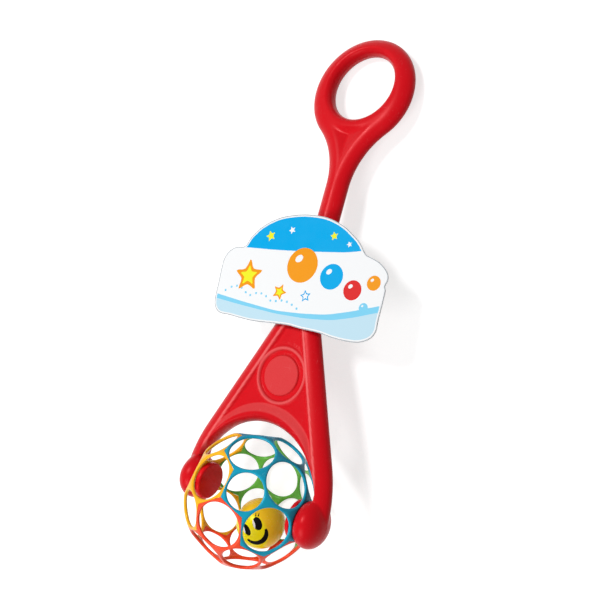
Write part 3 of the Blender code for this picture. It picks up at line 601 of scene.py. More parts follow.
def triangulated(points, edges, mode, merge):
    """Corners and triangles, as arrays, of a plan through points and edges."""
    corners, _, triangles, *_ = delaunay_2d_cdt([Vector(point) for point in points], edges, [], mode, merge)
    return np.array([tuple(corner) for corner in corners]), np.array([tuple(each) for each in triangles])


def ring_edges(start, count):
    """The edges of a closed loop of points."""
    return [(start + step, start + (step + 1) % count) for step in range(count)]


def closed_skin(front, count):
    """Front faces, the same faces turned round count places on, and the sides between them."""
    sides = dict.fromkeys((a, b) for face in front for a, b in zip(face, face[1:] + face[:1]))
    return (front + [[corner + count for corner in reversed(face)] for face in front]
            + [(b, a, a + count, b + count) for a, b in sides if (b, a) not in sides])


def unit_rows(rows):
    """Directions made one long."""
    return rows / np.hypot(*rows.T)[:, None]


# Handle

def arc(centre_x, centre_y, radius, start, end):
    """Points along an arc, both ends included."""
    steps = max(4, ceil(abs(end - start) * radius / ARC_STEP))
    angles = np.linspace(start, end, steps + 1)
    return [(centre_x + radius * cos(a), centre_y + radius * sin(a)) for a in angles]


def filled(points):
    """A run of points with the long straight stretches divided."""
    run = []
    for here, after in zip(points, points[1:]):
        steps = max(1, ceil(hypot(after[0] - here[0], after[1] - here[1]) / RUN_STEP))
        run += [(here[0] + (after[0] - here[0]) * s / steps, here[1] + (after[1] - here[1]) * s / steps)
                for s in range(steps)]
    return run + [points[-1]]


def handle_sides():
    """The +X side of the outline in two runs: from the grip's top round the arm's end, and the arch."""
    across = STICK_HALF + NECK_RADIUS
    neck_y = GRIP_OUTER_CENTRE - sqrt((GRIP_OUTER_RADIUS + NECK_RADIUS) ** 2 - across ** 2)
    turn = atan2(neck_y - GRIP_OUTER_CENTRE, across)
    start_x = ARM_OUTER - ARM_CURVE_RADIUS * (1 - cos(ARM_LEAN))
    start_y = ARM_CURVE_RADIUS * sin(ARM_LEAN)
    flare_y = start_y + (start_x - STICK_HALF) / tan(ARM_LEAN) + FLARE_RADIUS * tan(ARM_LEAN / 2)
    inner = ARCH_RADIUS * cos(ARM_END_ANGLE)
    end_radius = (ARM_OUTER - inner) / 2
    outer = arc(0, GRIP_OUTER_CENTRE, GRIP_OUTER_RADIUS, pi / 2, turn)
    outer += arc(across, neck_y, NECK_RADIUS, turn + pi, pi)[1:]
    outer += arc(STICK_HALF + FLARE_RADIUS, flare_y, FLARE_RADIUS, pi, pi + ARM_LEAN)
    outer += arc(ARM_OUTER - ARM_CURVE_RADIUS, 0, ARM_CURVE_RADIUS, ARM_LEAN, 0)
    outer += arc(inner + end_radius, 0, end_radius, 0, -pi)[1:]
    arch = [outer[-1]] + arc(0, 0, ARCH_RADIUS, ARM_END_ANGLE, pi / 2)
    return filled(outer), filled(arch)


def mirrored(run):
    """A run of the +X side taken to the -X side, in the opposite order."""
    return [(-x, y) for x, y in reversed(run)]


OUTER_RUN, ARCH_RUN = handle_sides()
SIDE_LINE = np.array(mirrored(OUTER_RUN)[:-1] + OUTER_RUN)
ARCH_LINE = np.array(ARCH_RUN + mirrored(ARCH_RUN)[1:])
ARM_OUTLINE = np.array(OUTER_RUN[:-1] + ARCH_RUN[:-1] + mirrored(ARCH_RUN)[:-1] + mirrored(OUTER_RUN)[:-1])


def outline_with_pods():
    """The whole outline: down the arm's side, round the pod's oval, up its face and along the arch."""
    down = [(x, y) for x, y in OUTER_RUN if y > 0 and x < ARM_OUTER]
    start = acos((POD_FACE - POD_CENTRE) / POD_HALF_DEPTH)
    oval_run = [(POD_CENTRE + POD_HALF_DEPTH * cos(bend), POD_RADIUS * sin(bend))
                for bend in np.linspace(0, -start, 44)]
    face = [(POD_FACE, y) for y in np.linspace(oval_run[-1][1], -oval_run[-1][1], 24)][1:-1]
    top_run = [(x, -y) for x, y in reversed(oval_run) if hypot(x, y) < ARCH_RADIUS and x < POD_CENTRE + 2]
    up = [(x, y) for x, y in ARCH_RUN if y > top_run[-1][1] + 0.8]
    side = down + oval_run + face + top_run + up
    return np.array(side[:-1] + mirrored(side)[:-1])


OUTLINE = outline_with_pods()


def reach(line, points):
    """The distance of each point to a run of straight lines."""
    nearest = np.full(len(points), np.inf)
    for start, end in zip(line[:-1], line[1:]):
        span = end - start
        share = np.clip((points - start) @ span / (span @ span), 0, 1)
        nearest = np.minimum(nearest, np.hypot(*(points - start - share[:, None] * span).T))
    return nearest


def within(loop, points):
    """Which points lie inside a closed loop."""
    inside = np.zeros(len(points), bool)
    x, y = points.T
    for (ax, ay), (bx, by) in zip(loop, np.roll(loop, -1, axis=0)):
        if ay != by:
            crosses = (ay > y) != (by > y)
            inside ^= crosses & (x < (bx - ax) * (y - ay) / (by - ay) + ax)
    return inside


def away_from(points, x, y):
    """The distance of each point to a place."""
    return np.hypot(points[:, 0] - x, points[:, 1] - y)


def oval(distance, width):
    """The height of a rounded edge at a distance inside the outline."""
    share = 1 - np.clip(distance / width, 0, 1)
    return HALF_THICKNESS * np.sqrt(1 - share ** 2)


def soft_minimum(first, second, soft):
    """The smaller of two values, with the corner between them eased."""
    share = np.clip(0.5 + 0.5 * (second - first) / soft, 0, 1)
    return second + (first - second) * share - soft * share * (1 - share)


def soft_maximum(first, second, soft):
    """The larger of two values, with the corner between them filled."""
    return -soft_minimum(-first, -second, soft)


def arch_rim(points, arch_reach):
    """How far across the arch's rim each point lies, 0 at the arch to 1 at the web, and the rim's width."""
    web_reach = WEB_RADIUS - away_from(points, 0, WEB_RISE)
    width = arch_reach + np.maximum(web_reach, 0)
    return np.where(web_reach > 0, arch_reach / np.maximum(width, 0.01), 1.0), width


def body_height(points, side_reach, arch_reach):
    """The height of the plain rounded handle over its parting plane, falling off beyond its outline."""
    hole_reach = np.abs(away_from(points, 0, GRIP_DISTANCE) - GRIP_HOLE_RADIUS)
    arch_round = np.clip(RIM_CREST * arch_rim(points, arch_reach)[1], *ARCH_ROUND_RANGE)
    height = oval(side_reach, RAIL_WIDTH)
    for inner_reach, width in ((hole_reach, GRIP_ROUND), (arch_reach, arch_round)):
        height = soft_minimum(height, oval(inner_reach, width) + INNER_EDGE_LIFT, EDGE_SOFTNESS)
    return np.where(within(ARM_OUTLINE, points), height, -FALL_BEYOND * np.minimum(side_reach, arch_reach))


def with_pods(height, points):
    """Flows the pods into the arms; both fall off beyond their outlines."""
    across = np.abs(points[:, 0])
    away = np.hypot((across - POD_CENTRE) / POD_HALF_DEPTH, points[:, 1] / POD_RADIUS)
    dome = POD_RADIUS * np.sqrt(np.clip(1 - away ** 2, 0, 1))
    edge = 1 - np.clip((across - POD_FACE) / POD_EDGE_WIDTH, 0, 1)
    pods = np.where(away < 1, dome - POD_EDGE_DROP * edge ** 2, POD_FALL * (1 - away))
    return soft_maximum(height, pods, np.clip(0.9 * np.maximum(height, pods), *POD_BLEND_RANGE))


def medallion_height(away):
    """The height of the raised ring, its moat and the flat field, over the web's floor."""
    outer = RING_HEIGHT * smoothstep((MEDALLION_FOOT - away) / (MEDALLION_FOOT - MEDALLION_CREST + 0.8))
    inner = MOAT_HEIGHT + 2.9 * rise(away, MEDALLION_MOAT, MEDALLION_CREST - MEDALLION_MOAT + 0.6)
    disc = MOAT_HEIGHT + DISC_RISE * smoothstep((MEDALLION_DISC + DISC_EASE - away) / (2 * DISC_EASE))
    ring = soft_minimum(outer, inner, RING_SOFTNESS)
    return np.where(away > MEDALLION_CREST, ring, np.maximum(ring, disc))


def front_height(points):
    """The height of the front: rails, sunk web, arch rim, medallion and the valley at the neck."""
    side_reach = reach(SIDE_LINE, points)
    arch_reach = reach(ARCH_LINE, points)
    y = points[:, 1]
    slope = np.clip((arch_rim(points, arch_reach)[0] - RIM_CREST) / (1 - RIM_CREST), 0, 1)
    slope = 0.55 * slope + 0.45 * smoothstep(slope)
    sunk = smoothstep((side_reach - RAIL_CREST + 0.4) / WEB_SLOPE) * slope * (y < WEB_TOP)
    height = body_height(points, side_reach, arch_reach) - WEB_DEPTH * sunk
    away = away_from(points, 0, MEDALLION_DISTANCE)
    relief = HALF_THICKNESS - WEB_DEPTH + medallion_height(away)
    raised = np.where(away < MEDALLION_CREST, relief, soft_maximum(height, relief, 0.5))
    height = np.where(away < MEDALLION_FOOT + 1, raised, height)
    hole_reach = away_from(points, 0, GRIP_DISTANCE) - GRIP_HOLE_RADIUS
    past = side_reach - VALLEY_EDGE
    valley = 0.5 * (past + np.sqrt(past ** 2 + 3)) * rise(hole_reach, 9.5, 8) * (y > WEB_TOP)
    return with_pods(height - VALLEY_SLOPE * valley * rise(y, WEB_TOP + 5, 20), points)


def satin_fields(points):
    """Where the front is duller with a painted sheen (the medallion's field, the arch rim's slope), and where
    it carries a painted highlight (the medallion's ring, the crests).
    """
    away = away_from(points, 0, MEDALLION_DISTANCE)
    share = arch_rim(points, reach(ARCH_LINE, points))[0]
    side_reach = reach(SIDE_LINE, points)
    y = points[:, 1]
    # painted sheen on the medallion's field and the arch rim's slope; painted highlight on the medallion's ring
    # and along the crests
    field = smoothstep((MEDALLION_DISC + 0.4 - away) / 0.9)
    ring = RING_HIGHLIGHT_LEVEL * smoothstep(1.7 - np.abs(away - MEDALLION_CREST) / 1.3)
    slope = rise(share, RIM_CREST, 0.06) * smoothstep((0.99 - share) / 0.05) * (y < 100) * rise(y, 40, 20)
    crest = CREST_HIGHLIGHT_LEVEL * smoothstep(1.8 - np.abs(side_reach - RAIL_CREST + 0.5) / 1.1)
    crest *= (away > MEDALLION_CREST + 1) * rise(y, 20, 16)
    crest *= (1 - 0.82 * (y > CREST_FADES_FROM)) * (1 - rise(y, 355, 20))
    return np.maximum(np.maximum(field, ring), np.maximum(slope, crest))


def rear_height(points):
    """The height of the plain back with its screw wells."""
    height = with_pods(body_height(points, reach(SIDE_LINE, points), reach(ARCH_LINE, points)), points)
    for place in SCREW_PLACES:
        away = away_from(points, *place)
        lip = WELL_LIP_DEPTH * (1 - rise(away, WELL_RADIUS, WELL_LIP_WIDTH))
        height = np.where(away <= WELL_RADIUS + 0.001, WELL_FLOOR, height - lip)
    return height


def inset(loop, distance):
    """A closed clockwise loop moved inwards."""
    heading = unit_rows(np.roll(loop, -1, axis=0) - np.roll(loop, 1, axis=0))
    return loop + distance * np.column_stack((heading[:, 1], -heading[:, 0]))


def circle(centre, radius, spacing):
    """Points round a circle."""
    steps = max(12, ceil(2 * pi * radius / spacing))
    return ellipse(centre, radius, radius, steps=steps)


def ellipse(centre, half_width, half_height, tilt=0.0, steps=40):
    """An ellipse as a loop of points."""
    angles = np.arange(steps) * 2 * pi / steps
    x, y = half_width * np.cos(angles), half_height * np.sin(angles)
    return np.column_stack((centre[0] + x * cos(tilt) - y * sin(tilt),
                            centre[1] + x * sin(tilt) + y * cos(tilt)))


def thinned(points, earlier, gap):
    """The points that keep a gap from all earlier ones."""
    tree = KDTree(len(earlier))
    for index, point in enumerate(earlier):
        tree.insert((*point, 0), index)
    tree.balance()
    return np.array([point for point in points if tree.find((*point, 0))[2] > gap])


def plan_mesh(features, spacing):
    """A triangle mesh of the handle's plan, finest near its edges and features."""
    grip = (0, GRIP_DISTANCE)
    loops = [OUTLINE, circle(grip, GRIP_HOLE_RADIUS, RUN_STEP)]
    near = [inset(OUTLINE, depth) for depth in EDGE_DEPTHS]
    near += [circle(grip, GRIP_HOLE_RADIUS + depth, RUN_STEP) for depth in EDGE_DEPTHS]
    placed = np.vstack(loops + near)
    placed = np.vstack((placed, thinned(np.vstack(features), placed, 0.3)))
    columns = np.arange(-ARM_OUTER, ARM_OUTER, spacing)
    rows = np.arange(-POD_RADIUS, GRIP_OUTER_CENTRE + GRIP_OUTER_RADIUS, spacing * 0.866)
    grid = np.array([(x + (spacing / 2 if row % 2 else 0), y) for row, y in enumerate(rows) for x in columns])
    grid = grid[within(OUTLINE, grid)]
    grid = grid[away_from(grid, *grip) > GRIP_HOLE_RADIUS]
    placed = np.vstack((placed, thinned(grid, placed, spacing * 0.55)))
    edges = ring_edges(0, len(OUTLINE)) + ring_edges(len(OUTLINE), len(loops[1]))
    corners, triangles = triangulated(placed, edges, 1, 1e-5)
    middles = corners[triangles].mean(axis=1)
    return corners, triangles[away_from(middles, *grip) > GRIP_HOLE_RADIUS * cos(pi / 60)]


def handle_half(name, side, heights, features, spacing, node, material):
    """One shell of the handle: relief over the plan, and a flat face at the parting plane."""
    corners, triangles = plan_mesh(features, spacing)
    levels = np.maximum(heights(corners), PARTING)
    mesh = bpy.data.meshes.new(name)
    mesh.from_pydata([(x, y, side * z) for (x, y), z in zip(corners, levels)], [], triangles.tolist())

    def close(form):
        if side > 0:
            # the front's attribute: duller fields with a painted sheen, and crests with a painted highlight
            satin = form.verts.layers.float.new("satin")
            for vertex, share in zip(form.verts, satin_fields(corners)):
                vertex[satin] = share
        loose = [vertex for vertex in form.verts if not vertex.link_faces]
        bmesh.ops.delete(form, geom=loose, context="VERTS")
        rim = [edge for edge in form.edges if edge.is_boundary]
        for vertex in {vertex for edge in rim for vertex in edge.verts}:
            vertex.co.z = side * PARTING
        bmesh.ops.triangle_fill(form, edges=rim, use_beauty=True, normal=(0, 0, -side))
        bmesh.ops.transform(form, matrix=HANDLE_PLACE, verts=form.verts)

    edit(mesh, close)
    piece = settled(name, mesh, "handle", material, 50)
    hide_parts(node)


def relief_points():
    """Extra plan points round the medallion and across the arch's rim."""
    found = [circle((0, MEDALLION_DISTANCE), radius, 1.1) for radius in MEDALLION_ROWS]
    for share in RIM_ROWS:
        along = RIM_CREST + (1 - RIM_CREST) * share
        radius = ARCH_RADIUS + (WEB_RADIUS - ARCH_RADIUS) * along
        angles = np.linspace(radians(30), radians(150), 130)
        found.append(np.column_stack((radius * np.cos(angles), WEB_RISE * along + radius * np.sin(angles))))
    return found


# Axle pieces

def axle_span(box):
    """How near and how far from the ball's centre a round axle piece reaches, and its radius."""
    low, high = box
    return *sorted(abs(end.x - BALL_CENTRE.x) / MM for end in box), (high.z - low.z) / 2 / MM


def axle_pieces(word, side, cap_material, journal_material):
    """The inner cap and the journal of one side, round where the CAD has flat facets."""
    place = HANDLE_PLACE @ towards((side, 0, 0))
    near, far, radius = axle_span(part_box(f"{word}_axle_cap"))
    flat = radius - CAP_EASE
    profile = [(near + CAP_DOME - CAP_DOME * (1 - (share * flat / radius) ** 2), share * flat)
               for share in np.linspace(0, 1, 12)]
    lift = profile[-1][0]
    profile += [(lift + CAP_EASE * (1 - cos(bend)), flat + CAP_EASE * sin(bend))
                for bend in np.linspace(0, pi / 2, 10)[1:]]
    points, faces = turned(profile + [(far, radius), (far, 0)], ROUND_STEPS)
    cap = solid(f"{word}_inner_cap", points, faces, place, "handle", cap_material, 40)
    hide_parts(f"{word}_axle_cap")
    near, far, radius = axle_span(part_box(f"{word}_axle_journal"))
    shoulder = POD_FACE - SHOULDER_INSET
    collar = far - COLLAR_WIDTH
    profile = [(near, JOURNAL_BORE), (near, radius - JOURNAL_EASE), (near + JOURNAL_EASE, radius),
               (shoulder - JOURNAL_EASE, radius), (shoulder, radius - JOURNAL_EASE),
               (shoulder, SPIGOT_RADIUS), (collar, SPIGOT_RADIUS), (collar, COLLAR_RADIUS - JOURNAL_EASE),
               (collar + JOURNAL_EASE, COLLAR_RADIUS), (far, COLLAR_RADIUS), (far, JOURNAL_BORE)]
    points, faces = turned(profile, ROUND_STEPS)
    journal = solid(f"{word}_bearing", points, faces, place, "handle", journal_material, 30)
    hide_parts(f"{word}_axle_journal")


# Cage ball

def field_group():
    """Geometry nodes: one round-holed field of the cage, wrapped on the ball, with a rounded rim."""
    sizes = {name: CAGE_SIZES[name] for name in ("Ball Radius", "Wall", "Rim Round")}
    tree, graph, given, out = new_group(
        "round_holed_field", "GeometryNodeTree",
        {"Sides": 6, "Steps": 16, "Rows": FIELD_ROWS, "Hole Angle": 0.34, "Border Angle": 0.36,
         "Half Side": 0.2, **sizes}, {"Geometry": "Geometry"})
    m = graph.math
    sides, hole, half_wall = given["Sides"], given["Hole Angle"], given["Wall"] / 2
    sheet = graph.node("GeometryNodeMeshGrid", {"Size X": 1, "Size Y": 1, "Vertices Y": given["Rows"],
                                                "Vertices X": sides * given["Steps"] + 1})
    spot = graph.spot()
    along = (spot[0] + 0.5) * sides
    side = m("FLOOR", along + 0.0001)
    swing = ((along - side) * 2 - 1) * given["Half Side"]
    drift = m("ARCTAN2", m("TANGENT", swing), m("SINE", given["Border Angle"]))
    azimuth = side * (2 * pi) / sides + drift
    border = m("ARCCOSINE", m("COSINE", given["Border Angle"]) * m("COSINE", swing))
    middle = given["Ball Radius"] - half_wall
    width = (border - hole) * middle
    ease = m("MINIMUM", given["Rim Round"], width * 0.92)
    level = spot[1] * 2
    depth = m("ABSOLUTE", level)
    bend = m("MINIMUM", depth / RIM_SHARE, 1) * (pi / 2)
    rest = m("MAXIMUM", depth - RIM_SHARE, 0) * (1 / (1 - RIM_SHARE))
    away = ease * (1 - m("COSINE", bend)) + (width - ease) * rest
    polar = hole + away / middle
    radius = middle + m("SIGN", level) * m("SINE", bend) * half_wall
    flat = radius * m("SINE", polar)
    place = graph.node("ShaderNodeCombineXYZ", {0: flat * m("COSINE", azimuth), 1: flat * m("SINE", azimuth),
                                                2: radius * m("COSINE", polar)})
    graph.feed(out["Geometry"], graph.node("GeometryNodeSetPosition", {"Geometry": sheet, "Position": place}))
    return tree


def panel_group(field):
    """Geometry nodes: sets a field on each point of a panel, six-sided or five-sided, and joins them."""
    tree, graph, given, out = new_group(
        "cage_panel", "GeometryNodeTree", {"Geometry": "Geometry", **CAGE_SIZES, "Material": "Material"},
        {"Geometry": "Geometry"})
    sides, heading, aim = (graph.node("GeometryNodeInputNamedAttribute", {"Name": name}, data_type=kind)
                           for name, kind in (("sides", "INT"), ("heading", "FLOAT_VECTOR"),
                                              ("aim", "FLOAT_VECTOR")))
    turn = graph.node("FunctionNodeAxesToRotation", {0: heading, 1: aim}, primary_axis="Z", secondary_axis="X")
    shared = {name: given[name] for name in ("Steps", "Ball Radius", "Wall", "Rim Round")}
    sets = []
    for count, hole, border in ((6, "Six Hole Angle", SIX_BORDER), (5, "Five Hole Angle", FIVE_BORDER)):
        ring = graph.group(field, {"Sides": count, "Rows": FIELD_ROWS, "Hole Angle": given[hole],
                                   "Border Angle": border, "Half Side": HALF_SIDE, **shared})
        chosen = graph.node("FunctionNodeCompare", {2: sides, 3: count}, data_type="INT", operation="EQUAL")
        sets.append(graph.node("GeometryNodeInstanceOnPoints", {
            "Points": given["Geometry"], "Selection": chosen, "Instance": ring, "Rotation": turn}))
    real = graph.node("GeometryNodeRealizeInstances", {0: graph.node("GeometryNodeJoinGeometry", {0: sets})})
    welded = graph.node("GeometryNodeMergeByDistance", {"Geometry": real, "Distance": 0.004})
    graph.feed(out["Geometry"], graph.node("GeometryNodeSetMaterial", {"Geometry": welded,
                                                                       "Material": given["Material"]}))
    return tree


def grown(name, points, tree, values):
    """The plain mesh that a geometry nodes tree makes of points; its inputs are set by identifier."""
    carrier = linked(name, points)
    modifier = carrier.modifiers.new("Nodes", "NODES")
    modifier.node_group = tree
    for item in tree.interface.items_tree:
        if item.item_type == "SOCKET" and item.in_out == "INPUT" and item.name in values:
            modifier[item.identifier] = values[item.name]
    mesh = bpy.data.meshes.new_from_object(carrier.evaluated_get(bpy.context.evaluated_depsgraph_get()))
    carrier.modifiers.clear()
    bpy.data.objects.remove(carrier)
    return mesh


def neighbours(first, second):
    """Whether two five-sided fields lie next to each other."""
    return isclose(first.dot(second), 1 / sqrt(5), rel_tol=1e-4)


def ball_fields():
    """Directions of the 12 five-sided and 20 six-sided fields, one five-sided field on the axle."""
    golden = (1 + sqrt(5)) / 2
    corners = [Vector(point).normalized() for one in (1, -1) for two in (golden, -golden)
               for point in ((0, one, two), (one, two, 0), (two, 0, one))]
    to_axle = corners[0].rotation_difference(AXLE).to_matrix()
    corners = [to_axle @ corner for corner in corners]
    near = next(corner for corner in corners if neighbours(corner, AXLE))
    turn = Matrix.Rotation(atan2(near.y, near.z) - CAGE_TURN, 3, "X")
    fives = [turn @ corner for corner in corners]
    sixes = [(one + two + three).normalized() for i, one in enumerate(fives)
             for j, two in enumerate(fives[:i]) for three in fives[:j]
             if neighbours(one, two) and neighbours(two, three) and neighbours(three, one)]
    return fives, sixes


def panel_hearts(sixes):
    """The middle fields of the orange, blue, yellow and green panels."""
    blue, yellow = (max(sixes, key=lambda d: d.dot(Vector((side, sin(aim), cos(aim)))))
                    for side, aim in ((1, CAGE_TURN + pi / 5), (-1, CAGE_TURN)))
    middle = -(blue + yellow) / 2
    offset = blue.cross(yellow).normalized() * sqrt(1 - middle.length_squared)
    orange, green = sorted((middle + offset, middle - offset), key=lambda d: d.y)
    return [orange, blue, yellow, green]


def panel_of(direction, hearts):
    """The panel that a field belongs to: the nearest heart, or the next one round where three tie."""
    closeness = [direction.dot(heart) for heart in hearts]
    opposite = closeness.index(min(closeness))
    if isclose(closeness[opposite], -1, rel_tol=1e-4):
        return (opposite + 1) % 4
    return closeness.index(max(closeness))


def close_seam(form):
    """Draws a panel's open border back along the ball and closes it between the two faces of the wall."""
    border = [edge for edge in form.edges if edge.is_boundary]
    rim = {vertex for edge in border for vertex in edge.verts}
    moves = {}
    for vertex in rim:
        near = [edge.other_vert(vertex).co for edge in vertex.link_edges if edge.other_vert(vertex) not in rim]
        pull = sum((point - vertex.co for point in near), Vector())
        outward = vertex.co.normalized()
        pull -= outward * pull.dot(outward)
        moves[vertex] = pull.normalized() * SEAM_DRAW
    for vertex, move in moves.items():
        vertex.co += move
    bmesh.ops.bridge_loops(form, edges=border)
    bmesh.ops.transform(form, matrix=HANDLE_PLACE, verts=form.verts)


def cage_ball():
    """The four panels of the cage."""
    fives, sixes = ball_fields()
    fields = fives + sixes
    hearts = panel_hearts(sixes)
    tree = panel_group(field_group())
    for heart, (word, colour) in enumerate(PANEL_COLOURS):
        own = [field for field in fields if panel_of(field, hearts) == heart]
        aims = [max((other for other in fields if other != field), key=lambda d: d.dot(field)) for field in own]
        points = bpy.data.meshes.new("panel_points")
        points.from_pydata([(0, 0, 0)] * len(own), [], [])
        sides = [5 if field in fives else 6 for field in own]
        points.attributes.new("sides", "INT", "POINT").data.foreach_set("value", sides)
        for name, arrows in (("heading", own), ("aim", aims)):
            flat = [part for arrow in arrows for part in arrow]
            points.attributes.new(name, "FLOAT_VECTOR", "POINT").data.foreach_set("vector", flat)
        material = plastic(f"{word}_cage_plastic", colour, 0.27, 0.88, CAGE_GLOSS)
        mesh = grown("panel_points", points, tree, {**CAGE_SIZES, "Material": material})
        edit(mesh, close_seam)
        piece = settled(f"{word}_cage_panel", mesh, "ball", material, 60)
        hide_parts(f"cage_panel_{word}")


# Smiling ball

def face_frame():
    """The directions to the right and up on the face, tilted as in the photograph."""
    up = (FACE_UP - FACE_AIM * FACE_UP.dot(FACE_AIM)).normalized()
    right = up.cross(FACE_AIM)
    return (right * cos(FACE_TILT) + up * sin(FACE_TILT), up * cos(FACE_TILT) - right * sin(FACE_TILT))


def smiley_halves(material):
    """Both mouldings of the smiling ball, with an eased parting line."""
    bends = np.linspace(0, acos((SEAM_GAP + 0.22) / SMILEY_RADIUS), 44)
    profile = [(SMILEY_RADIUS * cos(bend), SMILEY_RADIUS * sin(bend)) for bend in bends]
    profile += [(SEAM_GAP, SMILEY_RADIUS - 0.16), (SEAM_GAP, 0)]
    points, faces = turned(profile, ROUND_STEPS)
    for side, name, node, slot in ((1, "smiling_ball_face", "smiley_face_half", "smiley_plastic"),
                                   (-1, "smiling_ball_back", "smiley_back_half", "golden_plastic")):
        place = SMILEY_PLACE @ towards(Vector(SMILEY_PARTING).normalized() * side)
        piece = solid(name, points, faces, place, "smiley", material, 40)
        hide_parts(node)


def ribbon(spine, low, high):
    """A closed loop round an open line, from one distance beside it to another."""
    heading = unit_rows(np.gradient(spine, axis=0))
    side = np.column_stack((-heading[:, 1], heading[:, 0]))
    return np.vstack((spine + side * high, (spine + side * low)[::-1]))


def stroke(spine, widths):
    """A loop round a curved stroke whose half width changes along it."""
    widths = np.array(widths)[:, None]
    return ribbon(np.array(spine), -widths, widths)


def print_mark(name, loops, lift, material):
    """Flat marks drawn on the ball as thin closed skins."""
    right, up = face_frame()
    points, faces = [], []
    for loop in loops:
        low, high = loop.min(axis=0), loop.max(axis=0)
        grid = np.array([(x, y) for x in np.arange(low[0], high[0], PRINT_SPACING)
                         for y in np.arange(low[1], high[1], PRINT_SPACING)])
        inner = thinned(grid[within(loop, grid)], loop, 0.25)
        placed = np.vstack((loop, inner)) if len(inner) else loop
        corners, triangles = triangulated(placed, ring_edges(0, len(loop)), 1, 1e-6)
        start = len(points)
        for height in (lift, PRINT_ROOT):
            for x, y in corners.tolist():
                out = sqrt(max(0.0, SMILEY_RADIUS ** 2 - x * x - y * y))
                spot = (right * x + up * y + FACE_AIM * out).normalized()
                points.append(spot * (SMILEY_RADIUS + height))
        faces += closed_skin((triangles + start).tolist(), len(corners))
    piece = solid(name, points, faces, SMILEY_PLACE, "smiley", material, 30)


def smiling_face(black, white):
    """A plain smile: two tall eyes with a glint each, short lashes and a curved mouth."""
    eyes, glints = ([ellipse((FACE_MIDDLE + x, y), half_width, half_height, radians(tilt))
                     for x, y, half_width, half_height, tilt in table]
                    for table in (((-6.1, 7.3, 3.6, 5.5, 4), (6.3, 7.5, 4.1, 5.8, 2)),
                                  ((-8.7, 8.6, 1.0, 3.4, -8), (3.4, 8.9, 1.0, 3.6, -8))))
    turns = np.linspace(radians(192), radians(350), 50)
    spine = [(FACE_MIDDLE + 10.8 * cos(turn), 1.2 + 10.4 * sin(turn)) for turn in turns]
    mouth = stroke(spine, 0.45 + 2.1 * np.sin(np.linspace(0.25, pi - 0.15, 50)) ** 0.8)
    lashes = []
    for x, y, lean in ((7.3, 13.6, 70), (9.3, 12.4, 48), (-7.6, 13.0, 112)):
        way = np.array((cos(radians(lean)), sin(radians(lean))))
        run = [np.array((FACE_MIDDLE + x, y)) + way * step * 0.25 for step in range(11)]
        lashes.append(stroke(run, 0.62 - np.linspace(0, 0.4, 11)))
    print_mark("smile_print_black", eyes + [mouth] + lashes, 0.05, black)
    print_mark("smile_print_white", glints, 0.09, white)


# Hang tag

def spline(points, steps):
    """A smooth closed curve through points."""
    curve = []
    count = len(points)
    for index in range(count):
        before, start, end, after = (points[(index + offset) % count] for offset in (-1, 0, 1, 2))
        square = before * 2 - start * 5 + end * 4 - after
        cube = start * 3 - before - end * 3 + after
        for share in np.arange(steps) / steps:
            curve.append((start * 2 + (end - before) * share + square * share ** 2 + cube * share ** 3) / 2)
    return np.array(curve)


def star(x, y, outer, inner, tilt):
    """A five-pointed star with blunt rays."""
    corners = []
    for ray in range(10):
        radius = inner if ray % 2 else outer
        angle = tilt + pi / 2 + pi * ray / 5
        corners.append((x + radius * cos(angle), y + radius * sin(angle)))
    return spline(np.array(corners), 4)


def ink_line(points):
    """A soft open line through points, from beyond the card's left to beyond its right."""
    across = np.linspace(-LINE_REACH, LINE_REACH, 120)
    up = np.pad(np.interp(across, *zip(*points)), 4, mode="edge")
    return np.column_stack((across, np.convolve(up, np.ones(9) / 9, mode="valid")))


def tag_layers():
    """The card's printed shapes with their inks, from the top layer down."""
    layers = []
    for x, y, radius, tilt, edge, heart in ((-60, 44, 17.0, 0.15, TAG_ORANGE, TAG_LIME),
                                            (-17, 34, 8.2, -0.25, TAG_ORANGE, TAG_LIME),
                                            (14, 35, 6.0, 0.3, SKY, PAPER)):
        layers += [(star(x, y, radius * 0.62, radius * 0.33, tilt), heart),
                   (star(x, y, radius, radius * 0.54, tilt), edge)]
    for x, y, radius, colour in ((1, 64, 17.5, TAG_ORANGE), (37, 58, 12.5, SKY), (63, 49, 9.5, TAG_RED),
                                 (83, 59, 7.0, TAG_ORANGE), (79, 35, 4.6, BAND)):
        glint = (x - radius * 0.32, y + radius * 0.34)
        layers += [(ellipse(glint, radius * 0.26, radius * 0.2, 0.7, 20), PAPER),
                   (ellipse((x, y), radius, radius, steps=56), colour)]
    for x, y, radius, colour in ((-46, 88, 5.6, TAG_LIME), (-22, 97, 4.0, PAPER), (28, 97, 4.4, TAG_LIME),
                                 (47, 91, 3.0, PAPER)):
        layers.append((star(x, y, radius, radius * 0.52, x), colour))
    for share in np.arange(15) / 14:
        hop = abs(sin(share * 3 * pi)) * (9 - 5 * share)
        layers.append((ellipse((-84 + 92 * share, 24.5 - 3 * share + hop * 0.9), 1.25, 1.25, steps=14), BAND))
    return layers


def card_bend(x, y):
    """How far the card stands off its flat shape: it bows a little away from the stick."""
    return CARD_SIDE_BOW * (x / (TAG_WIDTH / 2)) ** 2 - CARD_UPRIGHT_BOW * (y / TAG_HEIGHT - 0.5) ** 2


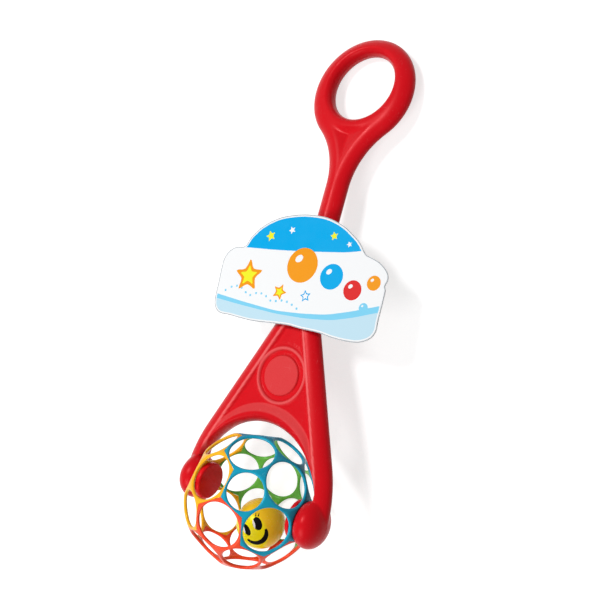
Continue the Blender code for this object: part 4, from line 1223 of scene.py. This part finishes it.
def tag_card(material, back_material):
    """The die-cut card with its inks as an attribute on its corners."""
    outline = spline(np.array([(across * TAG_WIDTH / 2, up * TAG_HEIGHT) for across, up in TAG_SHARES]), 6)
    border, edge_shade_line = inset(outline, BORDER_WIDTH), inset(outline, EDGE_SHADE_WIDTH)
    sky, band_top, band_low = (ink_line(points) for points in (
        ((-104, 70), (-75, 72.2), (-36, 74.6), (0, 77.8), (46, 83), (64, 87), (104, 99)),
        ((-104, 20), (-55, 16.8), (-16, 15.2), (13, 17.7), (42, 21.8), (66, 29.1), (104, 43)),
        ((-104, 15), (-60, 13.2), (-15, 12.3), (20, 14), (49, 17.7), (70, 24), (104, 37))))
    layers = tag_layers()
    placed, edges = [], []
    for loop in [outline, edge_shade_line, border] + [loop for loop, _ in layers]:
        edges += ring_edges(len(placed), len(loop))
        placed += list(loop)
    for line in (sky, band_top, band_low):
        edges += ring_edges(len(placed), len(line))[:-1]
        placed += list(line)
    placed += [(x, y) for x in np.arange(-96, 97, 8) for y in np.arange(2, 114, 8)]
    corners, triangles = triangulated(placed, edges, 0, 1e-4)
    middles = corners[triangles].mean(axis=1)
    kept = within(outline, middles)
    triangles, middles = triangles[kept], middles[kept]
    inks = np.tile(np.array(PAPER), (len(triangles), 1))
    across, up = middles.T
    inks[up < np.interp(across, *band_top.T)] = BAND
    inks[up < np.interp(across, *band_low.T)] = PALE
    inks[up > np.interp(across, *sky.T)] = SKY
    for loop, colour in reversed(layers):
        inks[within(loop, middles)] = colour
    inks[~within(border, middles)] = PAPER
    # painted shade: a grey band along the cut edge
    inks[~within(edge_shade_line, middles)] = EDGE_SHADE_GREY
    used, front = np.unique(triangles, return_inverse=True)
    front = front.reshape(-1, 3).tolist()
    points = [(x + TAG_SHIFT, y + TAG_FOOT, height + card_bend(x, y))
              for height in (CARD_BACK + CARD_THICKNESS, CARD_BACK) for x, y in corners[used]]
    mesh = bpy.data.meshes.new("hang_card")
    mesh.from_pydata([HANDLE_PLACE @ Vector(point) for point in points], [], closed_skin(front, len(used)))
    mesh.shade_flat()
    mesh.materials.append(material)
    mesh.materials.append(back_material)
    values = []
    for index, polygon in enumerate(mesh.polygons):
        printed = index < len(front)
        polygon.material_index = 0 if printed else 1
        values += [part for _ in polygon.loop_indices
                   for part in (*(inks[index] if printed else CARD_GREY), 1.0)]
    mesh.color_attributes.new("ink", "FLOAT_COLOR", "CORNER").data.foreach_set("color", values)
    piece = linked("hang_card", mesh)
    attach(piece, "tag")
    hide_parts("tag_card")


def tag_strap(material):
    """The card band round the stick, bent with soft corners."""
    inner = STICK_HALF + STRAP_GAP
    back, front = -HALF_THICKNESS - STRAP_GAP, CARD_BACK - STRAP_GAP
    ease = STRAP_ROUND
    run = [(inner + ease + STRAP_TAB, front), (inner + ease + STRAP_TAB / 2, front)]
    run += [(inner + ease + ease * cos(a), front - ease + ease * sin(a)) for a in np.linspace(pi / 2, pi, 14)]
    run += [(inner, z) for z in np.linspace(front - ease, back + ease, 8)[1:-1]]
    run += [(inner - ease + ease * cos(a), back + ease + ease * sin(a)) for a in np.linspace(0, -pi / 2, 14)]
    loop = ribbon(np.array(run + mirrored(run)), STRAP_THICKNESS, 0)
    heights = np.linspace(*STRAP_ENDS, 7)
    count = len(loop)
    points = [(x, height, z) for height in heights for x, z in loop]
    faces = []
    for row in range(len(heights) - 1):
        faces += [(a, b, b + count, a + count) for a, b in ring_edges(row * count, count)]
    for start in (0, len(points) - count):
        faces += [(start + step, start + step + 1, start + count - 2 - step, start + count - 1 - step)
                  for step in range(count // 2 - 1)]
    piece = solid("card_strap", points, faces, HANDLE_PLACE, "tag", material, 40)
    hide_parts("tag_strap")


# Screws

def screw_group():
    """Geometry nodes: a pan head with a cross recess on each point."""
    tree, graph, given, out = new_group(
        "pan_head_screws", "GeometryNodeTree", {"Geometry": "Geometry", **SCREW_SIZES, "Material": "Material"},
        {"Geometry": "Geometry"})
    radius, height, length = given["Head Radius"], given["Head Height"], given["Shank Length"]
    spot = graph.spot()
    low = graph.math("MAXIMUM", spot[2], radius * -0.02) * (height / radius)
    dome = graph.node("GeometryNodeSetPosition", {
        "Geometry": graph.node("GeometryNodeMeshUVSphere", {"Segments": 48, "Rings": 24, "Radius": radius}),
        "Position": graph.node("ShaderNodeCombineXYZ", {0: spot[0], 1: spot[1], 2: low})})

    def lifted(shape, lift):
        return graph.node("GeometryNodeTransform", {
            "Geometry": shape, "Translation": graph.node("ShaderNodeCombineXYZ", {2: lift})})

    shank = lifted(graph.node("GeometryNodeMeshCylinder", {
        "Vertices": 32, "Radius": given["Shank Radius"], "Depth": length}), length * -0.49)
    slots = []
    for long_side in (0, 1):
        size = graph.node("ShaderNodeCombineXYZ", {
            long_side: given["Recess Reach"], 1 - long_side: given["Recess Width"], 2: height})
        slots.append(lifted(graph.node("GeometryNodeMeshCube", {"Size": size}), height * 0.98))
    cut = graph.node("GeometryNodeMeshBoolean", {"Mesh 1": dome, "Mesh 2": slots},
                     operation="DIFFERENCE", solver="EXACT")
    whole = graph.node("GeometryNodeMeshBoolean", {"Mesh 2": [cut, shank]}, operation="UNION", solver="EXACT")
    turn = graph.node("FunctionNodeRandomValue", {"Min": (pi, 0, 0), "Max": (pi, 0, pi / 2),
                                                  "Seed": SCREW_SEED}, data_type="FLOAT_VECTOR")
    spread = graph.node("GeometryNodeInstanceOnPoints", {"Points": given["Geometry"], "Instance": whole,
                                                         "Rotation": turn})
    real = graph.node("GeometryNodeRealizeInstances", {"Geometry": spread})
    graph.feed(out["Geometry"], graph.node("GeometryNodeSetMaterial", {"Geometry": real,
                                                                       "Material": given["Material"]}))
    return tree


def handle_screws(material):
    """The eight screws in their wells, put in from the back."""
    points = bpy.data.meshes.new("screw_points")
    points.from_pydata([(x, y, -WELL_FLOOR - 0.05) for x, y in SCREW_PLACES], [], [])
    mesh = grown("screw_points", points, screw_group(), {**SCREW_SIZES, "Material": material})
    mesh.transform(HANDLE_PLACE)
    piece = settled("closing_screws", mesh, "handle", material, 30)
    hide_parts(*[f"handle_screw_{number}" for number in range(1, 9)])


# Floor, light and camera

def studio():
    """A pale floor, two soft lamps, an even world and the camera."""
    look = Look("pale_floor")
    grain = look.noise(look.place, 30, 3)
    dark, light = (with_alpha((tone,) * 3) for tone in FLOOR_TONES)
    look.set({"Base Color": look.blend(grain, dark, light), "Roughness": look.span(grain, 0, 1, 0.85, 0.95),
              "Emission Color": (1, 1, 1, 1), "Emission Strength": look.seen() * FLOOR_LIFT})
    mesh = bpy.data.meshes.new("floor")
    mesh.from_pydata([(x * FLOOR_HALF, y * FLOOR_HALF, 0) for x, y in ((-1, -1), (1, -1), (1, 1), (-1, 1))],
                     [], [(0, 1, 2, 3)])
    mesh.materials.append(look.material)
    floor = linked("floor", mesh)
    for name, spot, size, power in LAMPS:
        lamp = bpy.data.lights.new(name, "AREA")
        lamp.shape = "DISK"
        lamp.size = size
        lamp.energy = power
        holder = linked(name, lamp)
        holder.location = spot
        holder.rotation_euler = (LAMP_AIM - Vector(spot)).to_track_quat("-Z", "Y").to_euler()
    world = bpy.data.worlds.new("studio")
    world.use_nodes = True
    bpy.context.scene.world = world
    graph = Graph(world.node_tree)
    back = world.node_tree.nodes["Background"].inputs
    graph.feed(back["Color"], (1, 1, 1, 1))
    graph.feed(back["Strength"], graph.span(graph.seen(), 0, 1, WORLD_LIGHT, 1.0))
    camera = bpy.data.cameras.new("camera")
    camera.lens = CAMERA_LENS
    camera.sensor_width = CAMERA_SENSOR
    camera.clip_start = 0.01
    holder = linked("camera", camera)
    holder.matrix_world = CAMERA_PLACE
    bpy.context.scene.camera = holder
    bpy.context.scene.view_settings.view_transform = "Standard"


def carried_over(node, material):
    """Gives a CAD node that stays a finished material."""
    frame["nodes"][node].data.materials.clear()
    frame["nodes"][node].data.materials.append(material)


def build():
    """Builds every piece round the frame."""
    red = handle_plastic("red_moulded_plastic")
    cap_red = plastic("cap_moulded_plastic", CAP_RED_BRIGHTENED_FOR_SHADE, 0.3, 0.85)
    bearing_red = plastic("bearing_plastic", DARK_RED, 0.36, 0.85)
    steel = metal("zinc_plating", STEEL, 0.34)
    brass = metal("bell_plating", BRASS, 0.3)
    grey_card = raw_card("raw_grey_card")
    spacing = FINE_SPACING
    wells = [circle(place, radius, 0.6) for place in SCREW_PLACES for radius in WELL_ROWS]
    handle_half("handle_front", 1, front_height, relief_points(), spacing, "handle_front_shell", red)
    handle_half("handle_rear", -1, rear_height, wells, spacing * REAR_SPACING_SHARE, "handle_rear_shell", red)
    for word, side in (("left", -1), ("right", 1)):
        axle_pieces(word, side, cap_red, bearing_red)
        carried_over(f"{word}_axle_screw", steel)
    cage_ball()
    smiley_halves(two_tone_plastic("two_tone_ball_plastic"))
    smiling_face(pad_print("black_pad_print", PRINT_BLACK), pad_print("white_pad_print", PRINT_WHITE))
    carried_over("jingle_bell", brass)
    carried_over("bell_pellet", steel)
    tag_card(printed_card("varnished_card"), grey_card)
    tag_strap(grey_card)
    handle_screws(steel)
    studio()


build()
